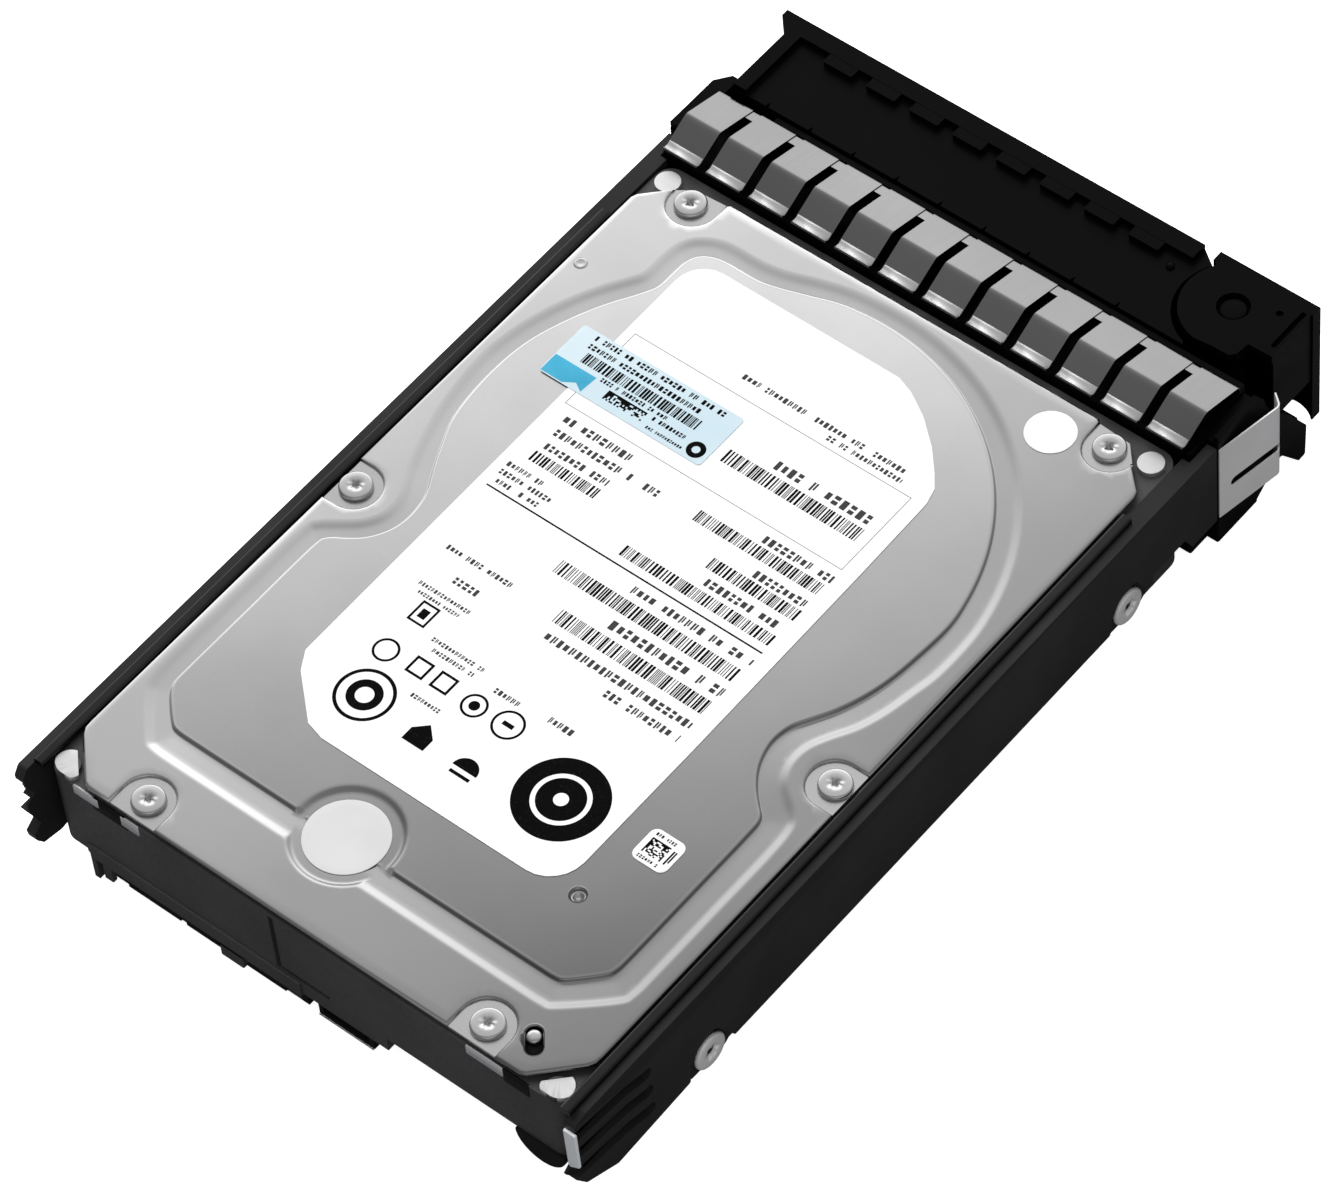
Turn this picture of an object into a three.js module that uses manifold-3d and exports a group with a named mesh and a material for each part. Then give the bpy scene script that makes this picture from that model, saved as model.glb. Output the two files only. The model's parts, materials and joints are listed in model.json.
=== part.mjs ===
// A 3.5 inch hard disk drive in its hot-plug carrier, as separate pieces.
// Units are millimetres. +X is the drive's right side, +Y points to the carrier's front,
// +Z is up, on the label side. Lengths along Y are measured from the drive's rear edge, and the
// exported group moves the model so that the origin is on the spindle axis, in the underside plane.

import * as THREE from 'three';
import { mergeVertices } from 'three/addons/utils/BufferGeometryUtils.js';
import Module from 'manifold-3d';

const wasm = await Module();
wasm.setup();

// ---- driving dimensions -------------------------------------------------------------------

const DRIVE = { halfWidth: 50.8, length: 147, corner: 3 };
const SPINDLE_Y = 95.5;
const PIVOT = { x: 20, y: 42 };

const BASE = { top: 23.5, floor: 7, pocket: 5, wellRadius: 48.4 };
const COVER = { bottom: 23.8, top: 25.4, channelDepth: 0.7, pocketFloor: 24.3 };
const COVER_HALF_WIDTH = 50.2;
const COVER_FRONT = 145.1;
const COVER_SCREWS = [
  [-41.4, 141.4], [41.4, 141.4], [-47.1, 67.1], [47.1, 67.1], [-33.2, 3.9], [33.2, 3.9],
];
const POCKET_RADIUS = 4.4;
const SEAL = { x: -5.2, y: 16.7, radius: 6.8, recess: 9 };

const SIDE_HOLES = { rear: 28.5, front: 130.1, height: 6.35, radius: 1.7 };
const BOTTOM_HOLES = { x: 47.625, ys: [41.28, 85.73, 117.5], radius: 1.6, depth: 5 };

const PLATTER = { inner: 12.5, outer: 47.5, thickness: 1.25, zs: [11.05, 16.1] };
const ARM = { length: 50.5, parked: 164.8, hubRadius: 8, bore: 4.08 };
const COIL = { inner: 12, outer: 24, halfAngle: 17 };

const RAIL = { inner: 51, web: 52.4, outer: 54.2, bottom: 6.3, top: 24.2, rear: -1.3, front: 151.5 };
const FRAME = { rear: 147.4, front: 162.2, bottom: 0.6, top: 25.2, halfWidth: 54.2, neck: 52.1 };
const FINGER = { count: 12, pitch: 8.7, width: 6.95, first: -51.55, thickness: 0.35 };

const LEVER = { top: 28, floor: 26.8, bottom: 0.6, left: -50.3, rear: 163.3, front: 180.6 };
const LEVER_PIVOT = { x: -46, y: 174.6 };
const LEVER_EAR = { halfWidth: 2.2, bottom: 9.3, top: 18.7, bore: 1.27 };
const BUTTON_PIVOT = { x: 41.3, y: 173.2 };
const BUTTON = { radius: 8.7, gap: 1, right: 52, left: 33.1, bottom: 2.2 };

// ---- geometry helpers ---------------------------------------------------------------------

// A closed outline through corners [x, y, radius]; a corner with a radius is rounded by an arc.
function outline(corners, kind = THREE.Shape) {
  const path = new kind();
  const count = corners.length;
  corners.forEach(([x, y, radius = 0], i) => {
    const corner = new THREE.Vector2(x, y);
    const before = new THREE.Vector2(...corners[(i + count - 1) % count]).sub(corner).normalize();
    const after = new THREE.Vector2(...corners[(i + 1) % count]).sub(corner).normalize();
    const half = Math.acos(THREE.MathUtils.clamp(before.dot(after), -1, 1)) / 2;
    const reach = radius / Math.tan(half);
    const start = corner.clone().addScaledVector(before, reach);
    const end = corner.clone().addScaledVector(after, reach);
    if (i === 0) path.moveTo(start.x, start.y);
    else path.lineTo(start.x, start.y);
    if (radius === 0) return;
    const bisector = before.clone().add(after).normalize();
    const centre = corner.clone().addScaledVector(bisector, radius / Math.sin(half));
    const clockwise = before.cross(after) > 0;
    const from = Math.atan2(start.y - centre.y, start.x - centre.x);
    const to = Math.atan2(end.y - centre.y, end.x - centre.x);
    path.absarc(centre.x, centre.y, radius, from, to, clockwise);
  });
  path.closePath();
  return path;
}

function rectangle(x0, x1, y0, y1, radius = 0) {
  return outline([[x0, y0, radius], [x1, y0, radius], [x1, y1, radius], [x0, y1, radius]]);
}

// A round-ended slot between two points.
function capsule(x0, y0, x1, y1, radius) {
  const across = Math.atan2(y1 - y0, x1 - x0) + Math.PI / 2;
  const shape = new THREE.Shape();
  shape.absarc(x0, y0, radius, across, across + Math.PI, false);
  shape.absarc(x1, y1, radius, across + Math.PI, across + Math.PI * 2, false);
  shape.closePath();
  return shape;
}

// A flat piece with the given outline between two heights.
function plate(shape, z0, z1, curveSegments = 5) {
  const geometry = new THREE.ExtrudeGeometry(shape, { depth: z1 - z0, bevelEnabled: false, curveSegments });
  return geometry.translate(0, 0, z0);
}

// A section drawn in the (Y, Z) plane and pulled along X.
function slab(corners, x0, x1, curveSegments = 4) {
  const geometry = plate(outline(corners), x0, x1, curveSegments);
  return geometry.applyMatrix4(new THREE.Matrix4().makeBasis(
    new THREE.Vector3(0, 1, 0), new THREE.Vector3(0, 0, 1), new THREE.Vector3(1, 0, 0)));
}

function block(x0, x1, y0, y1, z0, z1) {
  const geometry = new THREE.BoxGeometry(x1 - x0, y1 - y0, z1 - z0);
  return geometry.translate((x0 + x1) / 2, (y0 + y1) / 2, (z0 + z1) / 2);
}

function rod(x, y, radius, z0, z1, segments = 24) {
  const geometry = new THREE.CylinderGeometry(radius, radius, z1 - z0, segments);
  return geometry.rotateX(Math.PI / 2).translate(x, y, (z0 + z1) / 2);
}

function crossRod(y, z, radius, x0, x1, segments = 20) {
  const geometry = new THREE.CylinderGeometry(radius, radius, x1 - x0, segments);
  return geometry.rotateZ(Math.PI / 2).translate((x0 + x1) / 2, y, z);
}

// A piece turned about the vertical axis at (x, y), from a closed (radius, height) profile.
function turned(x, y, profile, segments = 24) {
  const points = [...profile, profile[0]].map(([r, z]) => new THREE.Vector2(r, z));
  return new THREE.LatheGeometry(points, segments).rotateX(Math.PI / 2).translate(x, y, 0);
}

function solid(geometry) {
  const bare = geometry.clone();
  bare.deleteAttribute('normal');
  bare.deleteAttribute('uv');
  const merged = mergeVertices(bare, 1e-4);
  const vertProperties = new Float32Array(merged.attributes.position.array);
  const triVerts = new Uint32Array(wholeTriangles(merged.index.array));
  const made = new wasm.Manifold(new wasm.Mesh({ numProp: 3, vertProperties, triVerts }));
  return made.volume() < 0 ? solid(flipped(geometry)) : made;
}

// The triangles whose three corners are still distinct after merging.
function wholeTriangles(index) {
  const kept = [];
  for (let i = 0; i < index.length; i += 3) {
    const [a, b, c] = [index[i], index[i + 1], index[i + 2]];
    if (a !== b && b !== c && c !== a) kept.push(a, b, c);
  }
  return kept;
}

// The same surface with its faces turned over.
function flipped(geometry) {
  const turnedOver = geometry.index ? geometry.toNonIndexed() : geometry.clone();
  const { array } = turnedOver.attributes.position;
  for (let i = 0; i < array.length; i += 9) {
    for (let k = 0; k < 3; k += 1) {
      [array[i + 3 + k], array[i + 6 + k]] = [array[i + 6 + k], array[i + 3 + k]];
    }
  }
  return turnedOver;
}

function geometryOf(manifold) {
  const mesh = manifold.getMesh();
  const geometry = new THREE.BufferGeometry();
  geometry.setAttribute('position', new THREE.BufferAttribute(mesh.vertProperties, mesh.numProp));
  geometry.setIndex(new THREE.BufferAttribute(mesh.triVerts, 1));
  return geometry;
}

function joined(...geometries) {
  return geometries.map(solid).reduce((whole, next) => whole.add(next));
}

// The pieces in `add` joined, with every piece in `remove` cut away.
function carved(add, remove = []) {
  let body = joined(...add);
  for (const tool of remove) body = body.subtract(solid(tool));
  return geometryOf(body);
}

function polar(centre, radius, degrees) {
  const angle = THREE.MathUtils.degToRad(degrees);
  return [centre.x + radius * Math.cos(angle), centre.y + radius * Math.sin(angle)];
}

// A fan-shaped sector of a ring about a centre, between two angles in degrees.
function fan(centre, inner, outer, from, to, kind = THREE.Shape) {
  const path = new kind();
  const [a, b] = [from, to].map(THREE.MathUtils.degToRad);
  path.absarc(centre.x, centre.y, outer, a, b, false);
  path.absarc(centre.x, centre.y, inner, b, a, true);
  path.closePath();
  return path;
}

// ---- materials ----------------------------------------------------------------------------

function finish(color, roughness, metalness) {
  return new THREE.MeshStandardMaterial({ color, roughness, metalness });
}

const blackCasting = () => finish(0x1b1c1f, 0.5, 0.6);
const stampedSteel = () => finish(0xa9abad, 0.34, 1);
const brightSteel = () => finish(0xd0d1d2, 0.22, 1);
const blackPlastic = () => finish(0x131316, 0.45, 0);
const greyPlastic = () => finish(0x3a3b3f, 0.4, 0);
const paper = () => finish(0xf2f2f0, 0.6, 0);
const rubber = () => finish(0x161616, 0.8, 0);
const mirrorDisk = () => finish(0xdadbdd, 0.06, 1);
const aluminium = () => finish(0xc4c6c8, 0.4, 1);
const copper = () => finish(0xb87333, 0.4, 1);
const magnetPlating = () => finish(0xb9bcc0, 0.25, 1);
const boardGreen = () => finish(0x1f5a3a, 0.5, 0);
const chipBlack = () => finish(0x202022, 0.6, 0);
const clearPlastic = () => finish(0xd9dde0, 0.1, 0);

const root = new THREE.Group();
root.position.y = -SPINDLE_Y;

function part(name, geometry, material, parent = root) {
  const mesh = new THREE.Mesh(geometry, material);
  mesh.name = name;
  parent.add(mesh);
  return mesh;
}

// A group that turns about a vertical axis; its pieces are given in drive coordinates.
function turningGroup(pivot, parent = root, parentPivot = { x: 0, y: 0 }) {
  const group = new THREE.Group();
  group.position.set(pivot.x - parentPivot.x, pivot.y - parentPivot.y, 0);
  group.userData.pivot = pivot;
  parent.add(group);
  return group;
}

function turningPart(name, geometry, material, group) {
  const { pivot } = group.userData;
  part(name, geometry.translate(-pivot.x, -pivot.y, 0), material, group);
}

// ---- drive: base casting, cover and their fasteners ---------------------------------------

function actuatorBay(clearance, kind = THREE.Shape) {
  const c = clearance;
  return outline([
    [-45 - c, 13 - c, 4], [45.8 + c, 13 - c, 4], [45.8 + c, 58 + c, 3], [38 + c, 66 + c, 2],
    [38 + c, 75, 0], [-38 - c, 75, 0], [-38 - c, 66 + c, 2], [-45 - c, 58 + c, 3],
  ], kind);
}

function baseCasting() {
  const { halfWidth, length, corner } = DRIVE;
  const body = plate(rectangle(-halfWidth, halfWidth, 0, length, corner), 0, BASE.top);
  const cuts = [
    rod(0, SPINDLE_Y, BASE.wellRadius, BASE.floor, BASE.top + 1, 48),
    plate(actuatorBay(0), BASE.floor, BASE.top + 1),
    rod(0, SPINDLE_Y, 13, -1, BASE.floor + 1, 32),
    ...undersideCuts(),
    ...COVER_SCREWS.map(([x, y]) => rod(x, y, 1.3, BASE.top - 9, BASE.top + 1, 12)),
  ];
  for (const side of [-1, 1]) {
    for (const y of [SIDE_HOLES.rear, SIDE_HOLES.front]) {
      const [x0, x1] = [side * (halfWidth - 4), side * (halfWidth + 1)].sort((a, b) => a - b);
      cuts.push(crossRod(y, SIDE_HOLES.height, SIDE_HOLES.radius, x0, x1, 16));
    }
    for (const y of BOTTOM_HOLES.ys) {
      cuts.push(rod(side * BOTTOM_HOLES.x, y, BOTTOM_HOLES.radius, -1, BOTTOM_HOLES.depth, 16));
    }
  }
  return carved([body, ...cornerPads()], cuts);
}

// Four machined lands at the corners, level with the middle of the cover's edge.
function cornerPads() {
  const front = [-1, 1].map((side) => rod(side * 47.8, 143.4, 2.05, 22, BASE.top + 0.9, 20));
  const rear = [-1, 1].map((side) => rod(side * 47.8, 2, 1.9, 22, BASE.top + 0.9, 20));
  return [...front, ...rear];
}

// The board pocket with its round motor boss, and the steps of the rear edge.
function undersideCuts() {
  const pocket = outline([[-43, -1], [43, -1], [43, 72, 4], [28, 91, 4], [-28, 91, 4], [-43, 72, 4]]);
  return [
    carved([plate(pocket, -1, BASE.pocket)], [rod(0, SPINDLE_Y, 16, -2, 8, 24)]),
    block(-44, -3, -1, 8.5, -1, 5.6),
    block(-3, 15, -1, 8.5, -1, 6.4),
    block(15, 41.5, -1, 8.5, -1, 9.5),
    block(41.4, 52, -1, 6, -1, 9.5),
    block(-52, -45, -1, 6, -1, 7),
    block(-6.5, -5.5, -1, 0.6, 10, 22.8),
    block(-6.5, 4, -1, 0.6, 9.6, 10.6),
  ];
}

function coverOutline(inset = 0) {
  const w = COVER_HALF_WIDTH - inset;
  const front = COVER_FRONT - inset;
  const rear = 0.2 + inset;
  return outline([
    [42.6 - inset * 0.4, rear, 2], [w, 8 + inset * 0.4, 2], [w, 136.8 - inset * 0.4, 3],
    [43.4 - inset * 0.4, front - 0.6, 2], [-43.4 + inset * 0.4, front - 0.6, 2],
    [-w, 137.2 - inset * 0.4, 3], [-w, 8 + inset * 0.4, 2], [-42.6 + inset * 0.4, rear, 2],
  ]);
}

// The D-shaped recess around a cover screw, open to the nearest edge of the cover.
function screwPocket([x, y]) {
  const side = Math.abs(x) > 45;
  const reach = side ? 8 : 9;
  const away = side ? Math.sign(x) : 0;
  const along = side ? 0 : Math.sign(y - SPINDLE_Y);
  const shape = new THREE.Shape();
  const start = Math.atan2(along, away) + Math.PI / 2;
  shape.absarc(x, y, POCKET_RADIUS, start, start + Math.PI, false);
  const [ox, oy] = [away * reach, along * reach];
  const end = [x - POCKET_RADIUS * Math.cos(start), y - POCKET_RADIUS * Math.sin(start)];
  shape.lineTo(end[0] + ox, end[1] + oy);
  shape.lineTo(x + POCKET_RADIUS * Math.cos(start) + ox, y + POCKET_RADIUS * Math.sin(start) + oy);
  shape.closePath();
  return plate(shape, COVER.pocketFloor, COVER.top + 1, 6);
}

// The stamped channel that loops around the platters and the actuator bay, as an outer line and
// an inner line; the rear run holds the round recess for the breather seal.
function channelLoop(inset, kind) {
  const c = inset;
  const r = 47.8 - c;
  const path = new kind();
  path.moveTo(-38.5 + c * 0.4, 10.6 + c);
  path.lineTo(38.5 - c * 0.4, 10.6 + c);
  path.lineTo(47.8 - c, 19.9 + c * 0.4);
  path.lineTo(47.8 - c, 57.5);
  path.bezierCurveTo(47.8 - c, 62, 40.6 - c, 61, 40.6 - c, 68.5);
  path.bezierCurveTo(40.6 - c, 74, 47.8 - c, 84, 47.8 - c, SPINDLE_Y);
  path.absarc(0, SPINDLE_Y, r, 0, THREE.MathUtils.degToRad(113), false);
  path.lineTo(-31, 138.6 - c);
  path.absarc(-31, 131.6, 7 - c * 0.6, Math.PI / 2, Math.PI, false);
  path.lineTo(-38.6 + c, 125);
  path.bezierCurveTo(-41.5 + c, 120, -47.8 + c, 108, -47.8 + c, SPINDLE_Y);
  path.bezierCurveTo(-47.8 + c, 84, -40.6 + c, 74, -40.6 + c, 68.5);
  path.bezierCurveTo(-40.6 + c, 61, -47.8 + c, 62, -47.8 + c, 57.5);
  path.lineTo(-47.8 + c, 19.9 + c * 0.4);
  path.closePath();
  return path;
}

function topCover() {
  const body = plate(coverOutline(), COVER.bottom, COVER.top);
  const channel = channelLoop(0, THREE.Shape);
  channel.holes.push(channelLoop(4.4, THREE.Path));
  const floor = COVER.top - COVER.channelDepth;
  const cuts = [
    ...COVER_SCREWS.map(screwPocket),
    ...COVER_SCREWS.map(([x, y]) => rod(x, y, 1.4, COVER.bottom - 1, COVER.top, 12)),
    plate(channel, floor, COVER.top + 1, 8),
    rod(SEAL.x, SEAL.y, SEAL.recess, floor, COVER.top + 1, 24),
    plate(capsule(39.6, 6.6, 41.3, 4.6, 1.1), COVER.bottom - 1, COVER.top + 1),
    rod(29.1, 29.2, 1.2, COVER.top - 1, COVER.top + 1, 12),
  ];
  return carved([body], cuts);
}

function coverGasket() {
  const ring = plate(coverOutline(1.2), BASE.top + 0.02, COVER.bottom - 0.02);
  const low = BASE.top - 1;
  const high = COVER.bottom + 1;
  const holes = COVER_SCREWS.map(([x, y]) => rod(x, y, 1.5, low, high, 12));
  return carved([ring], [rod(0, SPINDLE_Y, 48.5, low, high, 48), plate(actuatorBay(0.8), low, high), ...holes]);
}

// A low round head with a six-lobed socket, head side up.
function socketScrew(x, y, headBottom, headRadius, headHeight, shankRadius, shankLength) {
  const top = headBottom + headHeight;
  const rim = headRadius - 0.6;
  const body = turned(x, y, [
    [0, headBottom - shankLength], [shankRadius, headBottom - shankLength], [shankRadius, headBottom],
    [headRadius, headBottom], [headRadius, headBottom + headHeight * 0.45], [rim, top], [0, top],
  ], 14);
  const socket = rod(x, y, headRadius * 0.42, top - headHeight * 0.6, top + 1, 6);
  return carved([body], [socket]);
}

part('base_casting', baseCasting(), blackCasting());
part('top_cover', topCover(), stampedSteel());
part('cover_gasket', coverGasket(), rubber());
COVER_SCREWS.forEach(([x, y], i) => {
  const screw = socketScrew(x, y, COVER.pocketFloor + 0.02, 2.8, 1.5, 1.1, 7.5);
  part(`cover_screw_${i + 1}`, screw, brightSteel());
});

// ---- drive: spindle motor and platters ----------------------------------------------------

function motorBase() {
  return turned(0, SPINDLE_Y, [
    [0, 0], [12.8, 0], [12.8, 3], [5, 3], [5, 14], [4.45, 14], [4.45, 2.4], [2.03, 2.4], [2.03, 0.8], [0, 0.8],
  ], 24);
}

function motorStator() {
  const teeth = 9;
  const shape = new THREE.Shape();
  const centre = { x: 0, y: SPINDLE_Y };
  for (let i = 0; i < teeth; i += 1) {
    const middle = (i * 360) / teeth;
    const steps = [[6.2, -12], [8.2, -8], [9.6, -15], [9.6, 0], [9.6, 15], [8.2, 8], [6.2, 12]];
    steps.forEach(([radius, offset], k) => {
      const [x, y] = polar(centre, radius, middle + offset);
      if (i === 0 && k === 0) shape.moveTo(x, y);
      else shape.lineTo(x, y);
    });
  }
  shape.closePath();
  const bore = new THREE.Path();
  bore.absarc(0, SPINDLE_Y, 5.2, 0, Math.PI * 2, false);
  shape.holes.push(bore);
  return plate(shape, 9.4, 13.6, 10);
}

function spindleHub() {
  return turned(0, 0, [
    [2.06, 9], [4.2, 9], [4.2, 16.4], [10.2, 16.4], [10.2, 7.8], [12.3, 7.8], [12.3, 9.4],
    [15.5, 9.4], [15.5, 11], [12.3, 11], [12.3, 19.4], [2.06, 19.4],
  ], 24);
}

function ringDisk(inner, outer, z0, z1, segments) {
  return turned(0, 0, [[inner, z0], [outer, z0], [outer, z1], [inner, z1]], segments);
}

function platter(z) {
  return ringDisk(PLATTER.inner, PLATTER.outer, z, z + PLATTER.thickness, 48);
}

function platterSpacer() {
  const [lower, upper] = PLATTER.zs;
  return ringDisk(PLATTER.inner, 16, lower + PLATTER.thickness + 0.05, upper - 0.05, 24);
}

function diskClamp() {
  const seat = PLATTER.zs[1] + PLATTER.thickness + 0.05;
  return turned(0, 0, [
    [12.35, seat], [16, seat], [16, 19], [10, 20.4], [4.5, 20.4], [4.5, 19.5], [12.35, 19.5],
  ], 24);
}

part('motor_base', motorBase(), aluminium());
part('motor_stator', motorStator(), copper());
part('spindle_shaft', rod(0, SPINDLE_Y, 2, 0.85, 20.5, 24), brightSteel());

const rotor = turningGroup({ x: 0, y: SPINDLE_Y });
const [lowerDisk, upperDisk] = PLATTER.zs;
const upperTop = upperDisk + PLATTER.thickness;
part('spindle_hub', spindleHub(), aluminium(), rotor);
part('platter_lower', platter(lowerDisk), mirrorDisk(), rotor);
part('platter_upper', platter(upperDisk), mirrorDisk(), rotor);
part('platter_spacer', platterSpacer(), aluminium(), rotor);
part('disk_clamp', diskClamp(), brightSteel(), rotor);

// ---- drive: head actuator -----------------------------------------------------------------
// Built about its own pivot with the arm along +X, then turned to the parked direction.

const actuator = new THREE.Group();
actuator.position.set(PIVOT.x, PIVOT.y, 0);
actuator.rotation.z = THREE.MathUtils.degToRad(ARM.parked);
root.add(actuator);

const ARM_LEVELS = [[9.2, 10.2], [13.7, 14.7], [18.3, 19.3]];

function armBlock() {
  const hub = rod(0, 0, ARM.hubRadius, 8.4, 19.6, 24);
  const arm = outline([[2, -7], [14, -6.2], [36, -2.6, 1], [36, 2.6, 1], [14, 6.2], [2, 7]]);
  const fork = outline([
    [-2, -7.3], [-11, -9.5, 1], [-19, -10.4, 1], [-19, -8.6, 0.6], [-11.2, -6.5], [-6.8, 0],
    [-11.2, 6.5], [-19, 8.6, 0.6], [-19, 10.4, 1], [-11, 9.5, 1], [-2, 7.3],
  ]);
  const arms = ARM_LEVELS.map(([z0, z1]) => plate(arm, z0, z1));
  return carved([hub, ...arms, plate(fork, 12.6, 14.8)], [rod(0, 0, ARM.bore, 0, 30, 24)]);
}

function voiceCoil() {
  const origin = { x: 0, y: 0 };
  const shape = fan(origin, COIL.inner + 0.4, COIL.outer, 180 - COIL.halfAngle, 180 + COIL.halfAngle);
  const window = COIL.halfAngle * 0.55;
  shape.holes.push(fan(origin, COIL.inner + 3.4, COIL.outer - 3, 180 - window, 180 + window, THREE.Path));
  return plate(shape, 12.4, 15, 10);
}

// A tapered spring arm with its slider on the side that faces the platter.
function suspension(plateBottom, sliderBottom, sliderTop) {
  const tip = ARM.length + 2;
  const taper = outline([[28, -2.8], [46, -0.9], [tip, -0.5], [tip, 0.5], [46, 0.9], [28, 2.8]]);
  const slider = block(ARM.length - 1.2, ARM.length, -0.45, 0.45, sliderBottom, sliderTop);
  return carved([plate(taper, plateBottom, plateBottom + 0.25), slider]);
}

const HEADS = [
  [10.25, 10.45, lowerDisk - 0.1],
  [13.4, lowerDisk + PLATTER.thickness + 0.1, 13.5],
  [14.75, 14.95, upperDisk - 0.1],
  [18, upperTop + 0.1, 18.1],
];

part('actuator_arm_block', armBlock(), aluminium(), actuator);
part('voice_coil', voiceCoil(), copper(), actuator);
HEADS.forEach(([bottom, low, high], i) => {
  part(`head_suspension_${i + 1}`, suspension(bottom, low, high), brightSteel(), actuator);
});

function pivotBearing() {
  const foot = BASE.floor + 0.02;
  return turned(PIVOT.x, PIVOT.y, [
    [0, foot], [6.5, foot], [6.5, 8.2], [4, 8.2], [4, 19.8], [2.2, 19.8], [2.2, 21], [0, 21],
  ], 24);
}

const MAGNET_SWEEP = [-71, 6];

function magnetPlateBottom() {
  return plate(fan(PIVOT, 11.5, 25.4, ...MAGNET_SWEEP), BASE.floor + 0.02, 9, 10);
}

function magnetPlateTop() {
  const roof = plate(fan(PIVOT, 11.5, 25.4, ...MAGNET_SWEEP), 17.4, 19.2, 10);
  const legs = MAGNET_SWEEP.map((angle, i) => {
    const inward = i === 0 ? 3.5 : -3.5;
    const [x, y] = polar(PIVOT, 24.85, angle + inward * 0.4);
    return rod(x, y, 0.55, 9.02, 18, 10);
  });
  return carved([roof, ...legs]);
}

part('pivot_bearing', pivotBearing(), brightSteel());
part('magnet_plate_bottom', magnetPlateBottom(), magnetPlating());
part('magnet_plate_top', magnetPlateTop(), magnetPlating());
part('voice_coil_magnet', plate(fan(PIVOT, 12.5, 23.6, -68, 3), 9.02, 11.2, 10), magnetPlating());

// A comb whose two fins continue the platters' planes outside their rims.
function parkingRamp() {
  const turn = new THREE.Matrix4().makeRotationZ(THREE.MathUtils.degToRad(ARM.parked));
  turn.setPosition(PIVOT.x, PIVOT.y, 0);
  const place = (geometry) => geometry.applyMatrix4(turn);
  const post = place(block(54, 57.5, -3.5, 3.5, BASE.floor + 0.02, 18.6));
  const fin = (z) => block(49, 54.5, -2.5, 2.5, z + 0.1, z + PLATTER.thickness - 0.1);
  const fins = PLATTER.zs.map((z) => place(fin(z)));
  const rim = rod(0, SPINDLE_Y, PLATTER.outer + 0.6, 0, 30, 64);
  return carved([post, ...fins], [rim]);
}

function flexCable() {
  const points = [[10.5, 36.5], [5, 30], [-3, 27], [-10, 24], [-16, 19]];
  const curve = new THREE.CatmullRomCurve3(points.map(([x, y]) => new THREE.Vector3(x, y, 14)));
  const section = rectangle(-4, 4, -0.1, 0.1);
  return new THREE.ExtrudeGeometry(section, { steps: 20, extrudePath: curve });
}

function flexBracket() {
  return carved([block(-26, -16.6, 15, 24, BASE.floor + 0.02, 9.4), block(-19, -16.6, 15, 23, 9, 18.5)]);
}

function recirculationFilter() {
  return plate(rectangle(-42, -32, 28, 32, 1.5), BASE.floor + 0.02, 17, 4);
}

part('parking_ramp', parkingRamp(), paper());
part('flex_cable', flexCable(), copper());
part('flex_bracket', flexBracket(), chipBlack());
part('recirculation_filter', recirculationFilter(), paper());

// ---- drive: circuit board on the underside ------------------------------------------------

const BOARD_SCREWS = [[-36, 30], [36, 30], [-30, 70], [30, 70]];

function boardOutline(inset) {
  const i = inset;
  return outline([
    [-42.4 + i, 9 + i, 1], [42.4 - i, 9 + i, 1], [42.4 - i, 71.5 - i, 3],
    [27.6 - i, 90 - i, 3], [-27.6 + i, 90 - i, 3], [-42.4 + i, 71.5 - i, 3],
  ]);
}

function circuitBoard() {
  const screws = BOARD_SCREWS.map(([x, y]) => rod(x, y, 1.5, 0, 5, 12));
  return carved([plate(boardOutline(0), 1.6, 3)], [rod(0, SPINDLE_Y, 16.6, 0, 5, 24), ...screws]);
}

function boardPad() {
  const windows = [block(-20, -2, 20, 38, 0, 6), block(8, 20, 46, 58, 0, 6)];
  const screws = BOARD_SCREWS.map(([x, y]) => rod(x, y, 3, 0, 6, 12));
  const motor = rod(0, SPINDLE_Y, 19, 0, 6, 24);
  return carved([plate(boardOutline(3), 3.02, 4.9)], [motor, ...windows, ...screws]);
}

function interfaceConnector() {
  const body = block(-40.5, -4, 1.6, 8.2, 0.9, 5);
  const mouth = block(-39.3, -5.2, 1, 5.5, 1.7, 4.2);
  const tongue = block(-38.5, -6, 1.7, 6, 2.2, 3.4);
  return geometryOf(solid(body).subtract(solid(mouth)).add(solid(tongue)));
}

function serviceHeader() {
  const pins = [0, 1, 2, 3].map((i) => block(1.6 + i * 2, 2.3 + i * 2, 2.2, 8, 2.4, 3.1));
  const shell = carved([block(-0.5, 10.5, 1.6, 8.2, 0.9, 5)], [block(0.5, 9.5, 1, 6.5, 1.7, 4.2)]);
  return geometryOf(solid(shell).add(joined(...pins)));
}

part('circuit_board', circuitBoard(), boardGreen());
part('board_pad', boardPad(), rubber());
part('interface_connector', interfaceConnector(), chipBlack());
part('service_header', serviceHeader(), chipBlack());
part('controller_chip', block(-18, -4, 22, 36, 3.02, 4.3), chipBlack());
part('motor_driver_chip', block(10, 18, 48, 56, 3.02, 4.2), chipBlack());

// ---- drive: labels, stickers and corner plugs ---------------------------------------------

function mainLabel() {
  const shape = outline([
    [26.2, 27.9, 5], [25.8, 118.6, 3], [7.2, 133.2, 3],
    [-33.2, 133.2, 5.5], [-32.5, 38.5, 4], [-22, 27.7, 4],
  ]);
  return plate(shape, COVER.top + 0.03, COVER.top + 0.15, 6);
}

function breatherSeal() {
  const floor = COVER.top - COVER.channelDepth;
  return rod(SEAL.x, SEAL.y, SEAL.radius, floor + 0.02, floor + 0.2, 24);
}

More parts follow.
